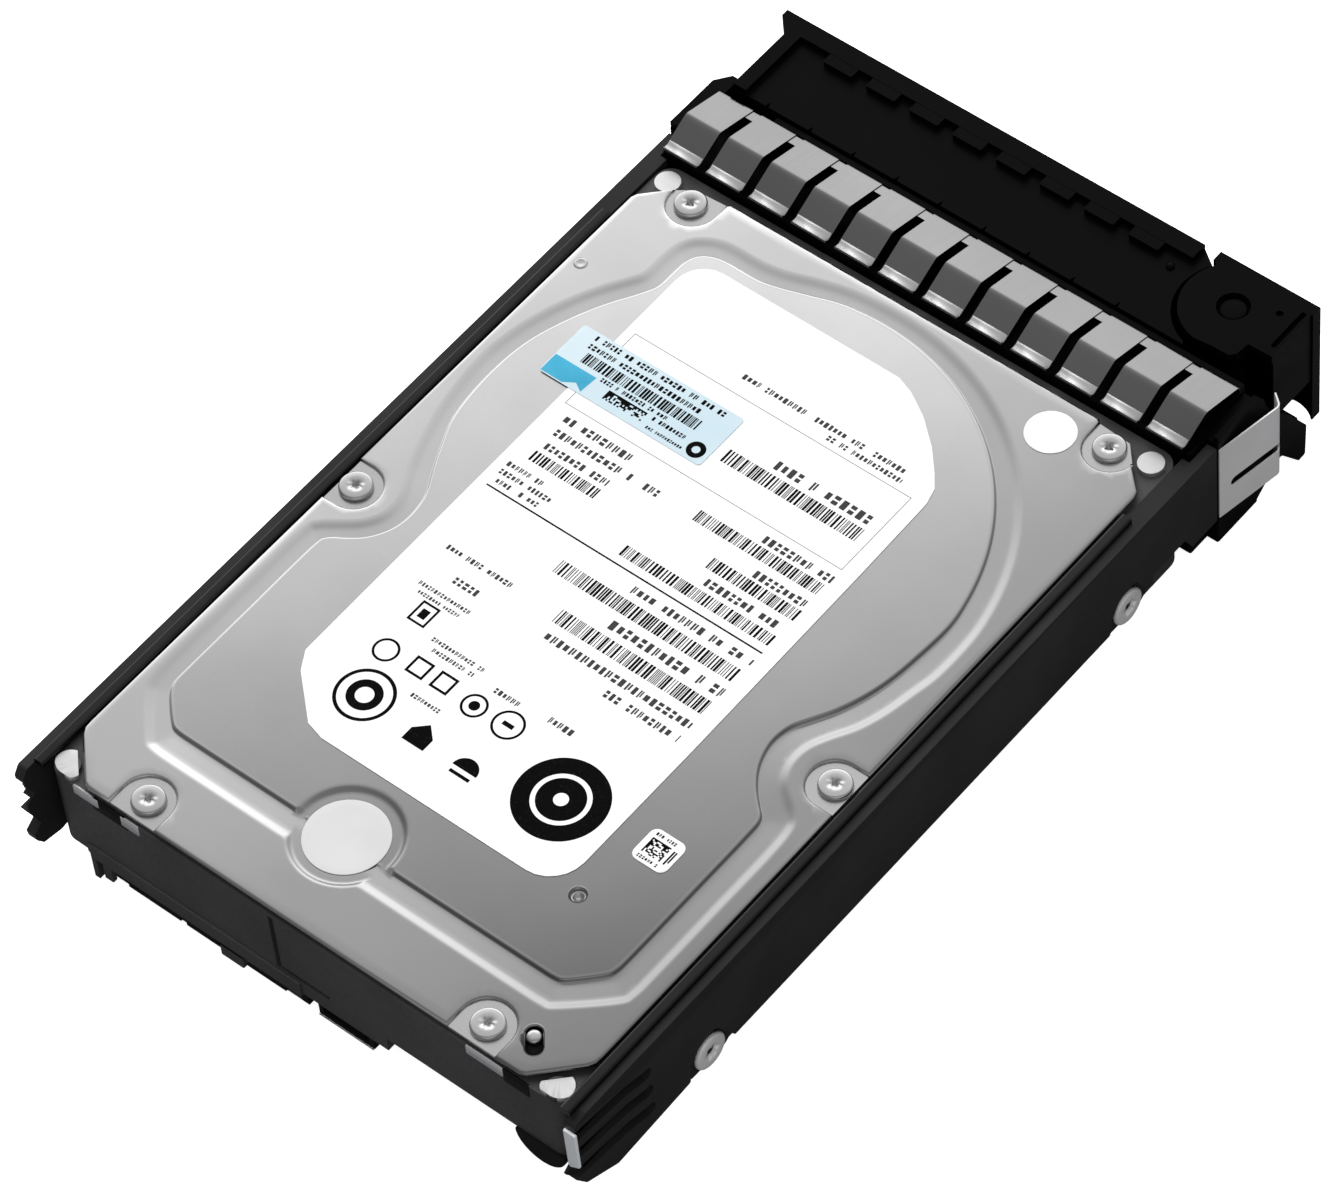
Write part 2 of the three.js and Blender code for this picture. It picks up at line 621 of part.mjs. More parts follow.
// A service sticker lies over the main label's edge; a small coded one sits on the bare cover.
const serviceSticker = plate(rectangle(-39, -6.8, 101.2, 112.4, 0.8), COVER.top + 0.18, COVER.top + 0.3, 4);
const codeSticker = plate(rectangle(30.6, 37, 39, 45.3, 1.4), COVER.top + 0.03, COVER.top + 0.14, 4);

part('main_label', mainLabel(), paper());
part('service_sticker', serviceSticker, paper());
part('code_sticker', codeSticker, paper());
part('round_sticker', rod(32.4, 138.4, 4.15, COVER.top + 0.03, COVER.top + 0.14, 24), paper());
part('breather_seal', breatherSeal(), brightSteel());

// ---- carrier: side rails ------------------------------------------------------------------

const RIB_GROOVES = [10.3, 14.6, 19.3];

// The tip of each rail, from the top down: the right one is blunt, the left one has three teeth.
const BLUNT_TIP = [[2, 24.2, 1], [-1.3, 22.8], [-1.3, 14], [-2.8, 12.4, 0.6], [0, 8.4, 1], [6, 5.3, 1]];
const TOOTHED_TIP = [
  [-2.4, 24.2, 0.8], [-3.5, 22.6, 0.4], [-3.4, 20.4], [-1.8, 17.8], [-3.8, 16.4], [-3.8, 14.4],
  [-2, 10], [-3.9, 8.6], [-3.6, 7], [-2.4, 5.2], [1.5, 4.3], [6, 5.3],
];

// A screw's notch in the rail's lower edge, from the rear to the front.
function railNotch(y) {
  return [
    [y - 5.9, RAIL.bottom], [y - 5.3, 9.6], [y - 3, 12.6, 1.6],
    [y + 0.3, 12.8, 1.6], [y + 1.7, 11], [y + 4.5, RAIL.bottom],
  ];
}

// A tall wall with three grooves at its tip, a foot pad at each screw, and a ledge along the top
// that carries the light pipe. The shape is the right rail's.
function rail(tip) {
  const { inner, web, outer, bottom, top, front } = RAIL;
  const ys = [SIDE_HOLES.rear, SIDE_HOLES.front];
  const profile = [
    ...tip, ...railNotch(SIDE_HOLES.rear), ...railNotch(SIDE_HOLES.front),
    [135.2, 9.8, 0.6], [143.4, 9.8, 0.6], [145.2, bottom], [front, bottom], [front, top],
  ];
  const wall = slab(profile, web, outer);
  const ledge = block(inner, web + 0.1, 2.2, FRAME.rear - 0.3, 22.4, top);
  const pads = ys.map((y) => slab(railPad(y), inner, web + 0.05));
  const grooves = RIB_GROOVES.map((z) => block(outer - 1.4, outer + 1, -5, 14.2, z - 0.85, z + 0.85));
  const holes = ys.map((y) => crossRod(y, SIDE_HOLES.height, 1.8, inner - 1, web + 1, 16));
  return carved([wall, ledge, ...pads], [...grooves, ...holes]);
}

function railPad(y) {
  return [[y - 5.5, 2.8, 2], [y + 5.5, 2.8, 2], [y + 5.5, 14], [y - 5.5, 14]];
}

function mirrored(geometry) {
  return flipped(geometry.clone().scale(-1, 1, 1));
}

function railScrew(y) {
  const screw = socketScrew(0, 0, 0, 3.3, 1, 1.6, 5.3);
  return screw.rotateY(Math.PI / 2).translate(RAIL.web + 0.06, y, SIDE_HOLES.height);
}

function lightPipe() {
  const low = RAIL.top + 0.03;
  const high = RAIL.top + 1.1;
  const section = [[RAIL.inner - 0.5, low], [RAIL.web, low], [RAIL.web, high, 0.4], [RAIL.inner - 0.5, high, 0.4]];
  return plate(outline(section), 0, 130, 3).rotateX(Math.PI / 2).translate(0, 132.5, 0);
}

part('right_rail', rail(BLUNT_TIP), greyPlastic());
part('left_rail', mirrored(rail(TOOTHED_TIP)), greyPlastic());
part('light_pipe_right', lightPipe(), clearPlastic());
part('light_pipe_left', mirrored(lightPipe()), clearPlastic());
['rear', 'front'].forEach((end) => {
  part(`rail_screw_right_${end}`, railScrew(SIDE_HOLES[end]), brightSteel());
  part(`rail_screw_left_${end}`, mirrored(railScrew(SIDE_HOLES[end])), brightSteel());
});

// ---- carrier: front frame and contact strips ----------------------------------------------

function frontFrame() {
  const { rear, front, bottom, top, halfWidth, neck } = FRAME;
  const plan = outline([
    [-neck, rear], [neck, rear], [neck, RAIL.front + 0.2], [halfWidth, RAIL.front + 0.2],
    [halfWidth, front], [-halfWidth, front], [-halfWidth, RAIL.front + 0.2], [-neck, RAIL.front + 0.2],
  ]);
  const body = plate(plan, bottom, top);
  const hollow = block(-50, 50, rear + 2, front - 2, bottom - 1, top - 1.6);
  const vents = Array.from({ length: 6 }, (_, i) => block(-44 + i * 16, -36 + i * 16, rear - 1, front + 1, 6, 18));
  const bore = rod(LEVER_PIVOT.x, LEVER_PIVOT.y, LEVER_EAR.bore, 0, 30, 16);
  const ridge = block(-41, 51, front - 0.3, front + 0.75, 24, top + 1.1);
  return carved([body, ridge, frameCheek(), frameShoulder(), leverEar(front - 1)], [hollow, ...vents, bore]);
}

// The arm at the right end, stepping down to a hook below the release button.
function frameCheek() {
  const { front, bottom, halfWidth } = FRAME;
  return slab([
    [front - 1, bottom], [168, bottom + 5.3], [172.8, bottom - 1], [174.5, bottom - 1],
    [174.8, 6.6], [170.4, 13.4], [165, 20], [163.4, 24.6], [front - 1, 24.6],
  ], 52.6, halfWidth);
}

// The raised corner at the left end, beside the lever.
function frameShoulder() {
  const { halfWidth } = FRAME;
  const shape = outline([
    [-halfWidth, 152], [-51.9, 152], [-51.9, 164.5], [-halfWidth, 162.4],
  ]);
  return plate(shape, 20, 26.6);
}

// The lug that carries the lever's pin, wider at its root, between the lever's roof and sill.
function leverEar(rootY) {
  const { x, y } = LEVER_PIVOT;
  const { halfWidth, bottom, top } = LEVER_EAR;
  const shape = new THREE.Shape();
  shape.moveTo(x - 4, rootY);
  shape.lineTo(x + halfWidth, rootY);
  shape.absarc(x, y, halfWidth, 0, Math.PI, false);
  shape.lineTo(x - halfWidth, y - 5);
  shape.lineTo(x - 4, y - 6.4);
  shape.closePath();
  return plate(shape, bottom, top, 8);
}

// Twelve sprung fingers on the frame's top: a lip at the rear, up to a ridge, and down again.
function contactStrip() {
  const t = FINGER.thickness;
  const z = FRAME.top;
  const section = [
    [147, z + 1.15], [147, z + 1.5], [148, z + 1.4], [153.3, z + 4.2], [161.6, z + 1.7],
    [161.6, z + 0.05], [161.6 - t, z + 0.05], [161.6 - t, z + 1.4], [153.3, z + 3.8], [148.1, z + 1],
  ];
  const last = FINGER.first + FINGER.pitch * (FINGER.count - 1) + FINGER.width;
  const strip = slab(section, FINGER.first, last);
  const gaps = Array.from({ length: FINGER.count - 1 }, (_, i) => {
    const start = FINGER.first + FINGER.width + FINGER.pitch * i;
    return block(start, start + FINGER.pitch - FINGER.width, 140, 161.1, z - 1, z + 6);
  });
  return carved([strip], gaps);
}

function sideContact() {
  const shape = outline([
    [54.25, 151.9], [56.6, 164.6], [54.25, 166.4], [54.25, 165.8], [56.2, 164.3], [54.25, 153.7],
  ]);
  return carved([plate(shape, 6.8, 23.4)], [block(53, 58, 154.6, 163.4, 12.8, 14)]);
}

part('front_frame', frontFrame(), blackPlastic());
part('contact_strip', contactStrip(), brightSteel());
part('side_contact', sideContact(), brightSteel());

// ---- carrier: ejector lever and release button --------------------------------------------

const SLOT_COUNT = 9;
const SLOT_FIRST = -46.9;

// The lever's outline seen from above; its right end is hollowed around the release button.
function leverPlan(front, clearance) {
  const { x, y } = BUTTON_PIVOT;
  const r = BUTTON.radius + BUTTON.gap;
  const shape = new THREE.Shape();
  const rear = LEVER.rear;
  const tip = Math.atan2(rear + 0.6 - y, -Math.sqrt(r * r - (rear + 0.6 - y) ** 2));
  const high = Math.atan2(178.6 - y, -Math.sqrt(r * r - (178.6 - y) ** 2));
  shape.moveTo(LEVER.left, rear);
  shape.lineTo(x + r * Math.cos(tip), rear);
  shape.absarc(x, y, r, tip, high, true);
  if (front > 178.6) shape.lineTo(30.4 - clearance, front);
  shape.lineTo(LEVER.left, front);
  shape.closePath();
  return shape;
}

function ejectorLever() {
  const { top, floor, bottom, left, rear, front } = LEVER;
  const roof = plate(leverPlan(front, 0), 25.4, floor);
  const border = plate(rectangle(left, 28, 174.9, front), floor - 0.1, top);
  const leftRim = plate(rectangle(left, left + 2.7, rear, front), floor - 0.1, top);
  const face = block(left, 30.4, 178.4, front, bottom, top);
  const flangePlan = outline([[-53.1, front], [-53.1, front - 1.4], [left, front - 4.2], [left + 1, front]]);
  const flange = plate(flangePlan, bottom, top);
  const leftWall = block(left, left + 1.5, rear, front, bottom, floor);
  const sill = plate(rectangle(left, 50, rear, 178.2), bottom, bottom + 1.2);
  const faceFoot = block(left, 30.4, 177.8, front, bottom, bottom + 1.2);
  const jamb = block(30, 34, 177, 178.6, bottom, 25.4);
  const barrel = rod(LEVER_PIVOT.x, LEVER_PIVOT.y, 3.1, 19.2, 26, 20);
  const cuts = [
    rod(LEVER_PIVOT.x, LEVER_PIVOT.y, 1.28, bottom - 1, 26.1, 16),
    rod(BUTTON_PIVOT.x, BUTTON_PIVOT.y, 1.65, bottom - 1, bottom + 3, 20),
    block(left - 1, left + 3, rear - 1, front - 5, bottom + 1.2, 19.1),
    ...borderNotches(), ...faceSlots(),
  ];
  return carved([roof, border, leftRim, face, flange, leftWall, sill, faceFoot, jamb, barrel], cuts);
}

// A notch with tapered sides across the border, wide at y0 and narrow at y1.
function taperedNotch(x, width, y0, y1, z0) {
  const inset = width / 3;
  const shape = outline([[x, y0], [x + width, y0], [x + width - inset, y1], [x + inset, y1]]);
  return plate(shape, z0, LEVER.top + 1);
}

function borderNotches() {
  const notches = [];
  for (let i = 0; i < SLOT_COUNT; i += 1) {
    const x = SLOT_FIRST + 5.9 + FINGER.pitch * i;
    notches.push(taperedNotch(x, 2.4, 174, 177.4, LEVER.floor));
    notches.push(taperedNotch(x + 0.4, 1.6, LEVER.rear - 1, LEVER.rear + 1.2, 25));
  }
  return notches;
}

function faceSlots() {
  const slots = [];
  for (let i = 0; i < SLOT_COUNT - 1; i += 1) {
    const x = SLOT_FIRST + 2 + FINGER.pitch * i;
    for (const z of [6.5, 13, 19.5]) slots.push(block(x, x + 5, 178, 182, z - 1.6, z + 1.6));
  }
  return slots;
}

// The button's outline: round about its pin on the lever's side, with a step at the rear.
function buttonPlan() {
  const { x, y } = BUTTON_PIVOT;
  const shape = new THREE.Shape();
  const start = Math.PI - Math.asin((178.2 - y) / BUTTON.radius);
  shape.moveTo(BUTTON.left, 180.9);
  shape.lineTo(BUTTON.left, 178.8);
  shape.absarc(x, y, BUTTON.radius, start, Math.PI * 1.5, false);
  shape.lineTo(46.6, y - BUTTON.radius);
  shape.lineTo(47.4, 168.7);
  shape.lineTo(BUTTON.right, 168.7);
  shape.lineTo(BUTTON.right, 180.9);
  shape.closePath();
  return shape;
}

function releaseButton() {
  const { x, y } = BUTTON_PIVOT;
  const cap = plate(buttonPlan(), 26.1, LEVER.top, 10);
  const face = block(BUTTON.left, 52.3, 178.9, 180.9, BUTTON.bottom, LEVER.top);
  const barrel = rod(x, y, 4.2, BUTTON.bottom, 26.2, 24);
  const sideWall = block(50.6, BUTTON.right, 169, 179, 12, 26.2);
  const web = block(x, 51, y - 0.9, y + 0.9, 10, 26.2);
  const cuts = [
    rod(x, y, 1.66, 0, 30, 20),
    rod(x, y, 2.75, LEVER.top - 1.3, LEVER.top + 1, 24),
    crossRodAlongY(49.4, 2, 2.6, 178, 182),
  ];
  return carved([cap, face, barrel, sideWall, web], cuts);
}

function crossRodAlongY(x, z, radius, y0, y1) {
  return new THREE.CylinderGeometry(radius, radius, y1 - y0, 24).translate(x, (y0 + y1) / 2, z);
}

function buttonPin() {
  return turned(BUTTON_PIVOT.x, BUTTON_PIVOT.y, [
    [0, 0.7], [1.6, 0.7], [1.6, 26.75], [2.3, 26.75], [2.3, 27.4], [0, 27.4],
  ], 24);
}

// A torsion spring around the lever's pin, with one short leg towards the frame.
function leverSpring() {
  const { x, y } = LEVER_PIVOT;
  const radius = 2.1;
  const turns = 3.25;
  const points = [];
  const steps = 12 * turns;
  for (let i = 0; i <= steps; i += 1) {
    const angle = (i / 12) * Math.PI * 2;
    const height = 3.4 + (i / steps) * 4.6;
    points.push(new THREE.Vector3(x + radius * Math.cos(angle), y + radius * Math.sin(angle), height));
  }
  points.push(new THREE.Vector3(x - 2.1, y + 1, 8.1));
  points.push(new THREE.Vector3(x - 1.8, y - 5, 8.1));
  const curve = new THREE.CatmullRomCurve3(points);
  const wire = new THREE.Shape();
  wire.absarc(0, 0, 0.35, 0, Math.PI * 2, false);
  return new THREE.ExtrudeGeometry(wire, { steps: 44, extrudePath: curve, curveSegments: 3 });
}

part('lever_pin', rod(LEVER_PIVOT.x, LEVER_PIVOT.y, 1.2, 0.8, 25.9, 16), brightSteel());
part('lever_spring', leverSpring(), brightSteel());

const lever = turningGroup(LEVER_PIVOT);
turningPart('ejector_lever', ejectorLever(), blackPlastic(), lever);
turningPart('button_pin', buttonPin(), blackPlastic(), lever);

const button = turningGroup(BUTTON_PIVOT, lever, LEVER_PIVOT);
turningPart('release_button', releaseButton(), blackPlastic(), button);

export default root;
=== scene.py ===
"""A 3.5 inch hard disk drive in its hot-plug carrier: meshes, materials and studio.

Lengths are millimetres: x to the right of the middle, y from the drive's rear edge, z from its
underside. at() turns a point into the frame's metres.
"""

import json
import math

import bmesh
import bpy
import numpy as np
from mathutils import Matrix, Vector, geometry


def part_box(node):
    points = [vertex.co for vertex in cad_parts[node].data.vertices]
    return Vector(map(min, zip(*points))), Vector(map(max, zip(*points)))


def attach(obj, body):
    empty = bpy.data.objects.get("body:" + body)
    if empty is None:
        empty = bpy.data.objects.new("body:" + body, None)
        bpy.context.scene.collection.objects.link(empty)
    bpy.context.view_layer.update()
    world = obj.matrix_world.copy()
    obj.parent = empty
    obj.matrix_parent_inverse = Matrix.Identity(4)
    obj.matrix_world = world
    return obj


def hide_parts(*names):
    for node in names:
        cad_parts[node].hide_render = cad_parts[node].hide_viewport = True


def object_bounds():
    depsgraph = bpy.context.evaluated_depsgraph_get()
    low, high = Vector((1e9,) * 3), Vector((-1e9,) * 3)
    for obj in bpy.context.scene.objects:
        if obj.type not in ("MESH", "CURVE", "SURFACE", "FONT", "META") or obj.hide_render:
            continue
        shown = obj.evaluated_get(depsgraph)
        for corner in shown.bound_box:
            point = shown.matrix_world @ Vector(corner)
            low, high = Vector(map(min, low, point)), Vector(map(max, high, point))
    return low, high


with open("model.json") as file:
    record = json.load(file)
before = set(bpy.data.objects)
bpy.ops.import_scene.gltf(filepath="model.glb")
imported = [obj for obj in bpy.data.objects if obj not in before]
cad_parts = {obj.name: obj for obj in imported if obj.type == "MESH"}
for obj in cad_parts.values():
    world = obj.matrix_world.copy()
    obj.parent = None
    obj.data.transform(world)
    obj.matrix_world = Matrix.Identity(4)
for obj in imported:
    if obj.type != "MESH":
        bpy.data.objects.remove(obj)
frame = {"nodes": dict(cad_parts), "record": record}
CAD_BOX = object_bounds()

MM = 0.001
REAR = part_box("base_casting")[0].y
COLLECTION = bpy.context.scene.collection


def at(x, y, z):
    return Vector((x * MM, REAR + y * MM, z * MM))


def span(node):
    """The low and high corners of a CAD node's box, in millimetres."""
    return [(v.x / MM, (v.y - REAR) / MM, v.z / MM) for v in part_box(node)]


COVER_TOP = span("top_cover")[1][2]
LEVER_LOW, LEVER_TOP = (corner[2] for corner in span("ejector_lever"))
FRAME_TOP = span("contact_strip")[0][2] - 0.05
BASE_TOP = span("base_casting")[1][2]
INNER, OUTER = (corner[0] for corner in span("right_rail"))
RAIL_TOP = span("right_rail")[1][2]
WEB = OUTER - 1.8
SPINDLE_Y = -REAR / MM
SEAL_X, SEAL_Y = -5.1, 16.7
SIDE_SCREW_Y, SIDE_SCREW_Z = [28.5, 130.1], 6.35
LEVER_PIN_X, LEVER_PIN_Y = -46, 174.6
PIN_X, PIN_Y = 41.3, 173.2
FINGERS, FINGER_PITCH, FINGER_WIDTH, FINGER_START = 12, 8.7, 6.95, -51.55
FINGER_X = [FINGER_START + i * FINGER_PITCH for i in range(FINGERS)]

# ---- outlines ------------------------------------------------------------------------------


def arc(cx, cy, r, start, end, n=12):
    """Points along an arc, in degrees, both ends included."""
    angles = np.radians(np.linspace(start, end, n + 1))
    return [(cx + r * math.cos(a), cy + r * math.sin(a)) for a in angles]


def disc(cx, cy, r, n=48):
    return arc(cx, cy, r, 0, 360, n)[:-1]


def capsule(a, b, r, n=10):
    """A round-ended slot between two points."""
    turn = math.degrees(math.atan2(b[1] - a[1], b[0] - a[0]))
    return arc(*a, r, turn + 90, turn + 270, n) + arc(*b, r, turn - 90, turn + 90, n)


def rounded(corners, steps=6):
    """A closed outline through corners (x, y, radius), each rounded by an arc."""
    out = []
    n = len(corners)
    for i, corner in enumerate(corners):
        x, y, r = corner if len(corner) == 3 else (*corner, 0)
        p = Vector((x, y))
        if r == 0:
            out.append((x, y))
            continue
        a = (Vector(corners[i - 1][:2]) - p).normalized()
        b = (Vector(corners[(i + 1) % n][:2]) - p).normalized()
        half = a.angle(b) / 2
        start, end = p + a * (r / math.tan(half)), p + b * (r / math.tan(half))
        centre = p + (a + b).normalized() * (r / math.sin(half))
        u, v = start - centre, end - centre
        turn = math.atan2(u.x * v.y - u.y * v.x, u.dot(v))
        out += [tuple(centre + Matrix.Rotation(turn * k / steps, 2) @ u) for k in range(steps + 1)]
    return out


def rect(x0, x1, y0, y1, r=0.0):
    return rounded([(x0, y0, r), (x1, y0, r), (x1, y1, r), (x0, y1, r)])


def spline(points, steps=6, closed=True):
    """A smooth curve through the points, as a dense polyline."""
    p = [Vector(q) for q in points]
    n = len(p)
    out = []
    for i in range(n if closed else n - 1):
        near = range(i - 1, i + 3)
        p0, p1, p2, p3 = (p[k % n] if closed else p[min(max(k, 0), n - 1)] for k in near)
        pull, bend, twist = p2 - p0, 2 * p0 - 5 * p1 + 4 * p2 - p3, 3 * p1 - p0 - 3 * p2 + p3
        for t in (k / steps for k in range(steps)):
            out.append(tuple(0.5 * (2 * p1 + pull * t + bend * t * t + twist * t**3)))
    return out if closed else [*out, tuple(p[-1])]


def resample(loop, step):
    """The closed outline redrawn with evenly spaced points."""
    p = np.array([*loop, loop[0]], float)
    along = np.concatenate([[0], np.cumsum(np.linalg.norm(np.diff(p, axis=0), axis=1))])
    places = np.linspace(0, along[-1], int(along[-1] / step) + 1)[:-1]
    return [tuple(q) for q in np.stack([np.interp(places, along, p[:, k]) for k in (0, 1)], axis=1)]


def inset(loop, distance):
    """The closed outline moved inwards (to its left, for a counter-clockwise loop)."""
    p = np.array(loop, float)
    d = np.roll(p, -1, axis=0) - p
    d /= np.linalg.norm(d, axis=1)[:, None]
    normal = np.stack([-d[:, 1], d[:, 0]], axis=1)
    mean = normal + np.roll(normal, 1, axis=0)
    scale = np.clip((mean**2).sum(axis=1) / 2, 0.35, None)
    return [tuple(q) for q in p + mean * (distance / scale)[:, None]]


def beside(line, distance):
    """The open line moved to its left."""
    p = np.array(line)
    d = np.gradient(p, axis=0)
    d /= np.linalg.norm(d, axis=1)[:, None]
    return [tuple(q) for q in p + np.stack([-d[:, 1], d[:, 0]], axis=1) * distance]


def band(line, left, right):
    """The thin area between two lines beside an open one."""
    return beside(line, left) + beside(line, right)[::-1]


def signed_area(loop):
    p = np.array(loop)
    q = np.roll(p, -1, axis=0)
    return 0.5 * float((p[:, 0] * q[:, 1] - p[:, 1] * q[:, 0]).sum())


def distance_to(points, loop):
    """Distance of each point to a closed outline, and whether it lies inside."""
    a = np.array(loop)
    best = np.full(len(points), 1e9)
    inside = np.zeros(len(points), bool)
    for s, e in zip(a, np.roll(a, -1, axis=0)):
        d = e - s
        t = np.clip(((points - s) @ d) / max(float(d @ d), 1e-12), 0, 1)
        best = np.minimum(best, np.linalg.norm(points - (s + t[:, None] * d), axis=1))
        if s[1] != e[1]:
            crosses = (s[1] > points[:, 1]) != (e[1] > points[:, 1])
            inside ^= crosses & (points[:, 0] < s[0] + (points[:, 1] - s[1]) * d[0] / d[1])
    return best, inside


def from_seal(points):
    return np.linalg.norm(points - np.array([SEAL_X, SEAL_Y]), axis=1)


# ---- meshes --------------------------------------------------------------------------------

CDT_KEEP_HOLES = 4
CDT_INSIDE = 1


def triangulate(loops, extra=(), output=CDT_KEEP_HOLES):
    """Vertices and faces of the area inside the first loop and outside the others."""
    points, edges, owner = [], [], []
    for k, loop in enumerate(loops):
        start, n = len(points), len(loop)
        points += [Vector(p[:2]) for p in loop]
        edges += [(start + i, start + (i + 1) % n) for i in range(n)]
        owner += [k] * n
    points += [Vector(p) for p in extra]
    owner += [-1] * len(extra)
    made = geometry.delaunay_2d_cdt(points, edges, [], output, 1e-5)
    ring = [owner[source[0]] if source else -1 for source in made[3]]
    faces = [tuple(f) for f in made[2] if len({ring[i] for i in f}) > 1 or ring[f[0]] < 1]
    return [tuple(v) for v in made[0]], faces


AXES = {
    "z": lambda u, v, w: (u, v, w),
    "x": lambda u, v, w: (w, u, v),
    "y": lambda u, v, w: (u, w, v),
}


def prism(loops, low, high, axis="z"):
    """A solid over an area with holes. Along x the outline is (y, z), along y it is (x, z)."""
    if not isinstance(loops[0][0], (tuple, list)):
        loops = [loops]
    points, faces = triangulate(loops)
    n = len(points)
    directed = {(f[i], f[(i + 1) % len(f)]) for f in faces for i in range(len(f))}
    walls = sorted((a, b, b + n, a + n) for a, b in directed if (b, a) not in directed)
    vertices = [AXES[axis](u, v, w) for w in (low, high) for u, v in points]
    solid = [f[::-1] for f in faces] + [tuple(i + n for i in f) for f in faces] + walls
    return vertices, [f[::-1] for f in solid] if axis == "y" else solid


def box(x0, x1, y0, y1, z0, z1):
    return prism([(x0, y0), (x1, y0), (x1, y1), (x0, y1)], z0, z1)


def stitched(rings):
    """Quads between each ring of vertex numbers and the next."""
    n = len(rings[0])
    pairs = [(low, high, i, (i + 1) % n) for low, high in zip(rings, rings[1:]) for i in range(n)]
    return [(low[i], low[j], high[j], high[i]) for low, high, i, j in pairs]


def turned(cx, cy, profile, n=48):
    """A round solid about a vertical axis, from (radius, height) points, bottom to top."""
    vertices, rings = [], []
    for r, z in profile:
        ring = disc(cx, cy, r, n) if r > 0 else [(cx, cy)]
        rings.append([len(vertices) + i % len(ring) for i in range(n)])
        vertices += [(x, y, z) for x, y in ring]
    faces = [tuple(dict.fromkeys(quad)) for quad in stitched(rings)]
    faces = [face for face in faces if len(face) > 2]
    if profile[0][0] > 0:
        faces.append(tuple(rings[0][::-1]))
    if profile[-1][0] > 0:
        faces.append(tuple(rings[-1]))
    return vertices, faces


def mirror_x(solids):
    return [([(-x, y, z) for x, y, z in v], [f[::-1] for f in faces]) for v, faces in solids]


def mesh_object(name, solids, smooth=True):
    """One object holding the given (vertices, faces) solids."""
    mesh = bpy.data.meshes.new(name)
    vertices, faces = [], []
    for v, f in solids:
        start = len(vertices)
        vertices += [at(*p) for p in v]
        faces += [tuple(i + start for i in face) for face in f]
    mesh.from_pydata(vertices, [], faces)
    mesh.update()
    mesh.polygons.foreach_set("use_smooth", [smooth] * len(mesh.polygons))
    obj = bpy.data.objects.new(name, mesh)
    COLLECTION.objects.link(obj)
    return obj


def carve(obj, solids, operation):
    """Joins solids to the object, or cuts them away, by exact booleans."""
    for solid in solids:
        tool = mesh_object(f"{obj.name}_tool", [solid])
        change = obj.modifiers.new("carve", "BOOLEAN")
        change.operation, change.object, change.solver = operation, tool, "EXACT"
        graph = bpy.context.evaluated_depsgraph_get()
        mesh = bpy.data.meshes.new_from_object(obj.evaluated_get(graph), depsgraph=graph)
        obj.modifiers.clear()
        obj.data = mesh
        bpy.data.objects.remove(tool)


def tidy(obj, angle=1.0):
    """Merges doubles and flat neighbours, so that bevels run along clean edges."""
    bm = bmesh.new()
    bm.from_mesh(obj.data)
    bmesh.ops.remove_doubles(bm, verts=bm.verts, dist=2e-6)
    limit = math.radians(angle)
    bmesh.ops.dissolve_limit(
        bm, angle_limit=limit, verts=bm.verts, edges=bm.edges, delimit={"MATERIAL"}
    )
    bm.to_mesh(obj.data)
    bm.free()
    obj.data.polygons.foreach_set("use_smooth", [True] * len(obj.data.polygons))


def soften(obj, width=0.3, segments=3, angle=30):
    """Rounded edges, and normals that keep the flat faces flat."""
    if width:
        bevel = obj.modifiers.new("bevel", "BEVEL")
        bevel.width, bevel.segments = width * MM, segments
        bevel.limit_method, bevel.angle_limit = "ANGLE", math.radians(angle)
        bevel.miter_outer = "MITER_ARC"
        bevel.use_clamp_overlap = True
    weighted = obj.modifiers.new("weighted", "WEIGHTED_NORMAL")
    weighted.keep_sharp, weighted.weight = True, 80


def place(obj, material, slot, body="carrier", replaces=None):
    """Gives the object its material and its body, and hides the CAD node that it replaces."""
    obj.data.materials.clear()
    obj.data.materials.append(material)
    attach(obj, body)
    if replaces:
        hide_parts(replaces)
    return obj


def piece(name, solids, material, slot, body="carrier", replaces=None, soft=None):
    """An object of separate solids; soft is the width, segments and angle of its edges."""
    obj = mesh_object(name, solids)
    if soft:
        soften(obj, *soft)
    return place(obj, material, slot, body, replaces)


def build(name, add, material, slot, cut=(), body="carrier", replaces=None, width=0.3):
    """A piece joined from solids, with others cut away and its edges rounded."""
    obj = mesh_object(name, add[:1])
    carve(obj, add[1:], "UNION")
    carve(obj, cut, "DIFFERENCE")
    tidy(obj)
    soften(obj, width)
    return place(obj, material, slot, body, replaces)


# ---- materials -----------------------------------------------------------------------------


class Nodes:
    """A small builder for the node tree of a material or a world."""

    def __init__(self, owner):
        owner.use_nodes = True
        self.tree = owner.node_tree
        self.tree.nodes.clear()

    def add(self, kind, **settings):
        node = self.tree.nodes.new(kind)
        for key, value in settings.items():
            setattr(node, key, value)
        return node

    def feed(self, target, value):
        """Links a socket to the target input, or sets the input to a value."""
        if hasattr(value, "is_linked"):
            self.tree.links.new(value, target)
        elif isinstance(value, tuple) and len(value) == 3 and target.type == "RGBA":
            target.default_value = (*value, 1)
        else:
            target.default_value = value

    def fill(self, node, **inputs):
        for key, value in inputs.items():
            self.feed(node.inputs[key.replace("_", " ")], value)
        return node.outputs

    def math(self, operation, a, b=0.0):
        node = self.add("ShaderNodeMath", operation=operation)
        self.feed(node.inputs[0], a)
        self.feed(node.inputs[1], b)
        return node.outputs[0]

    def mix(self, factor, a, b):
        node = self.add("ShaderNodeMix", data_type="RGBA")
        for number, value in ((0, factor), (6, a), (7, b)):
            self.feed(node.inputs[number], value)
        return node.outputs[2]


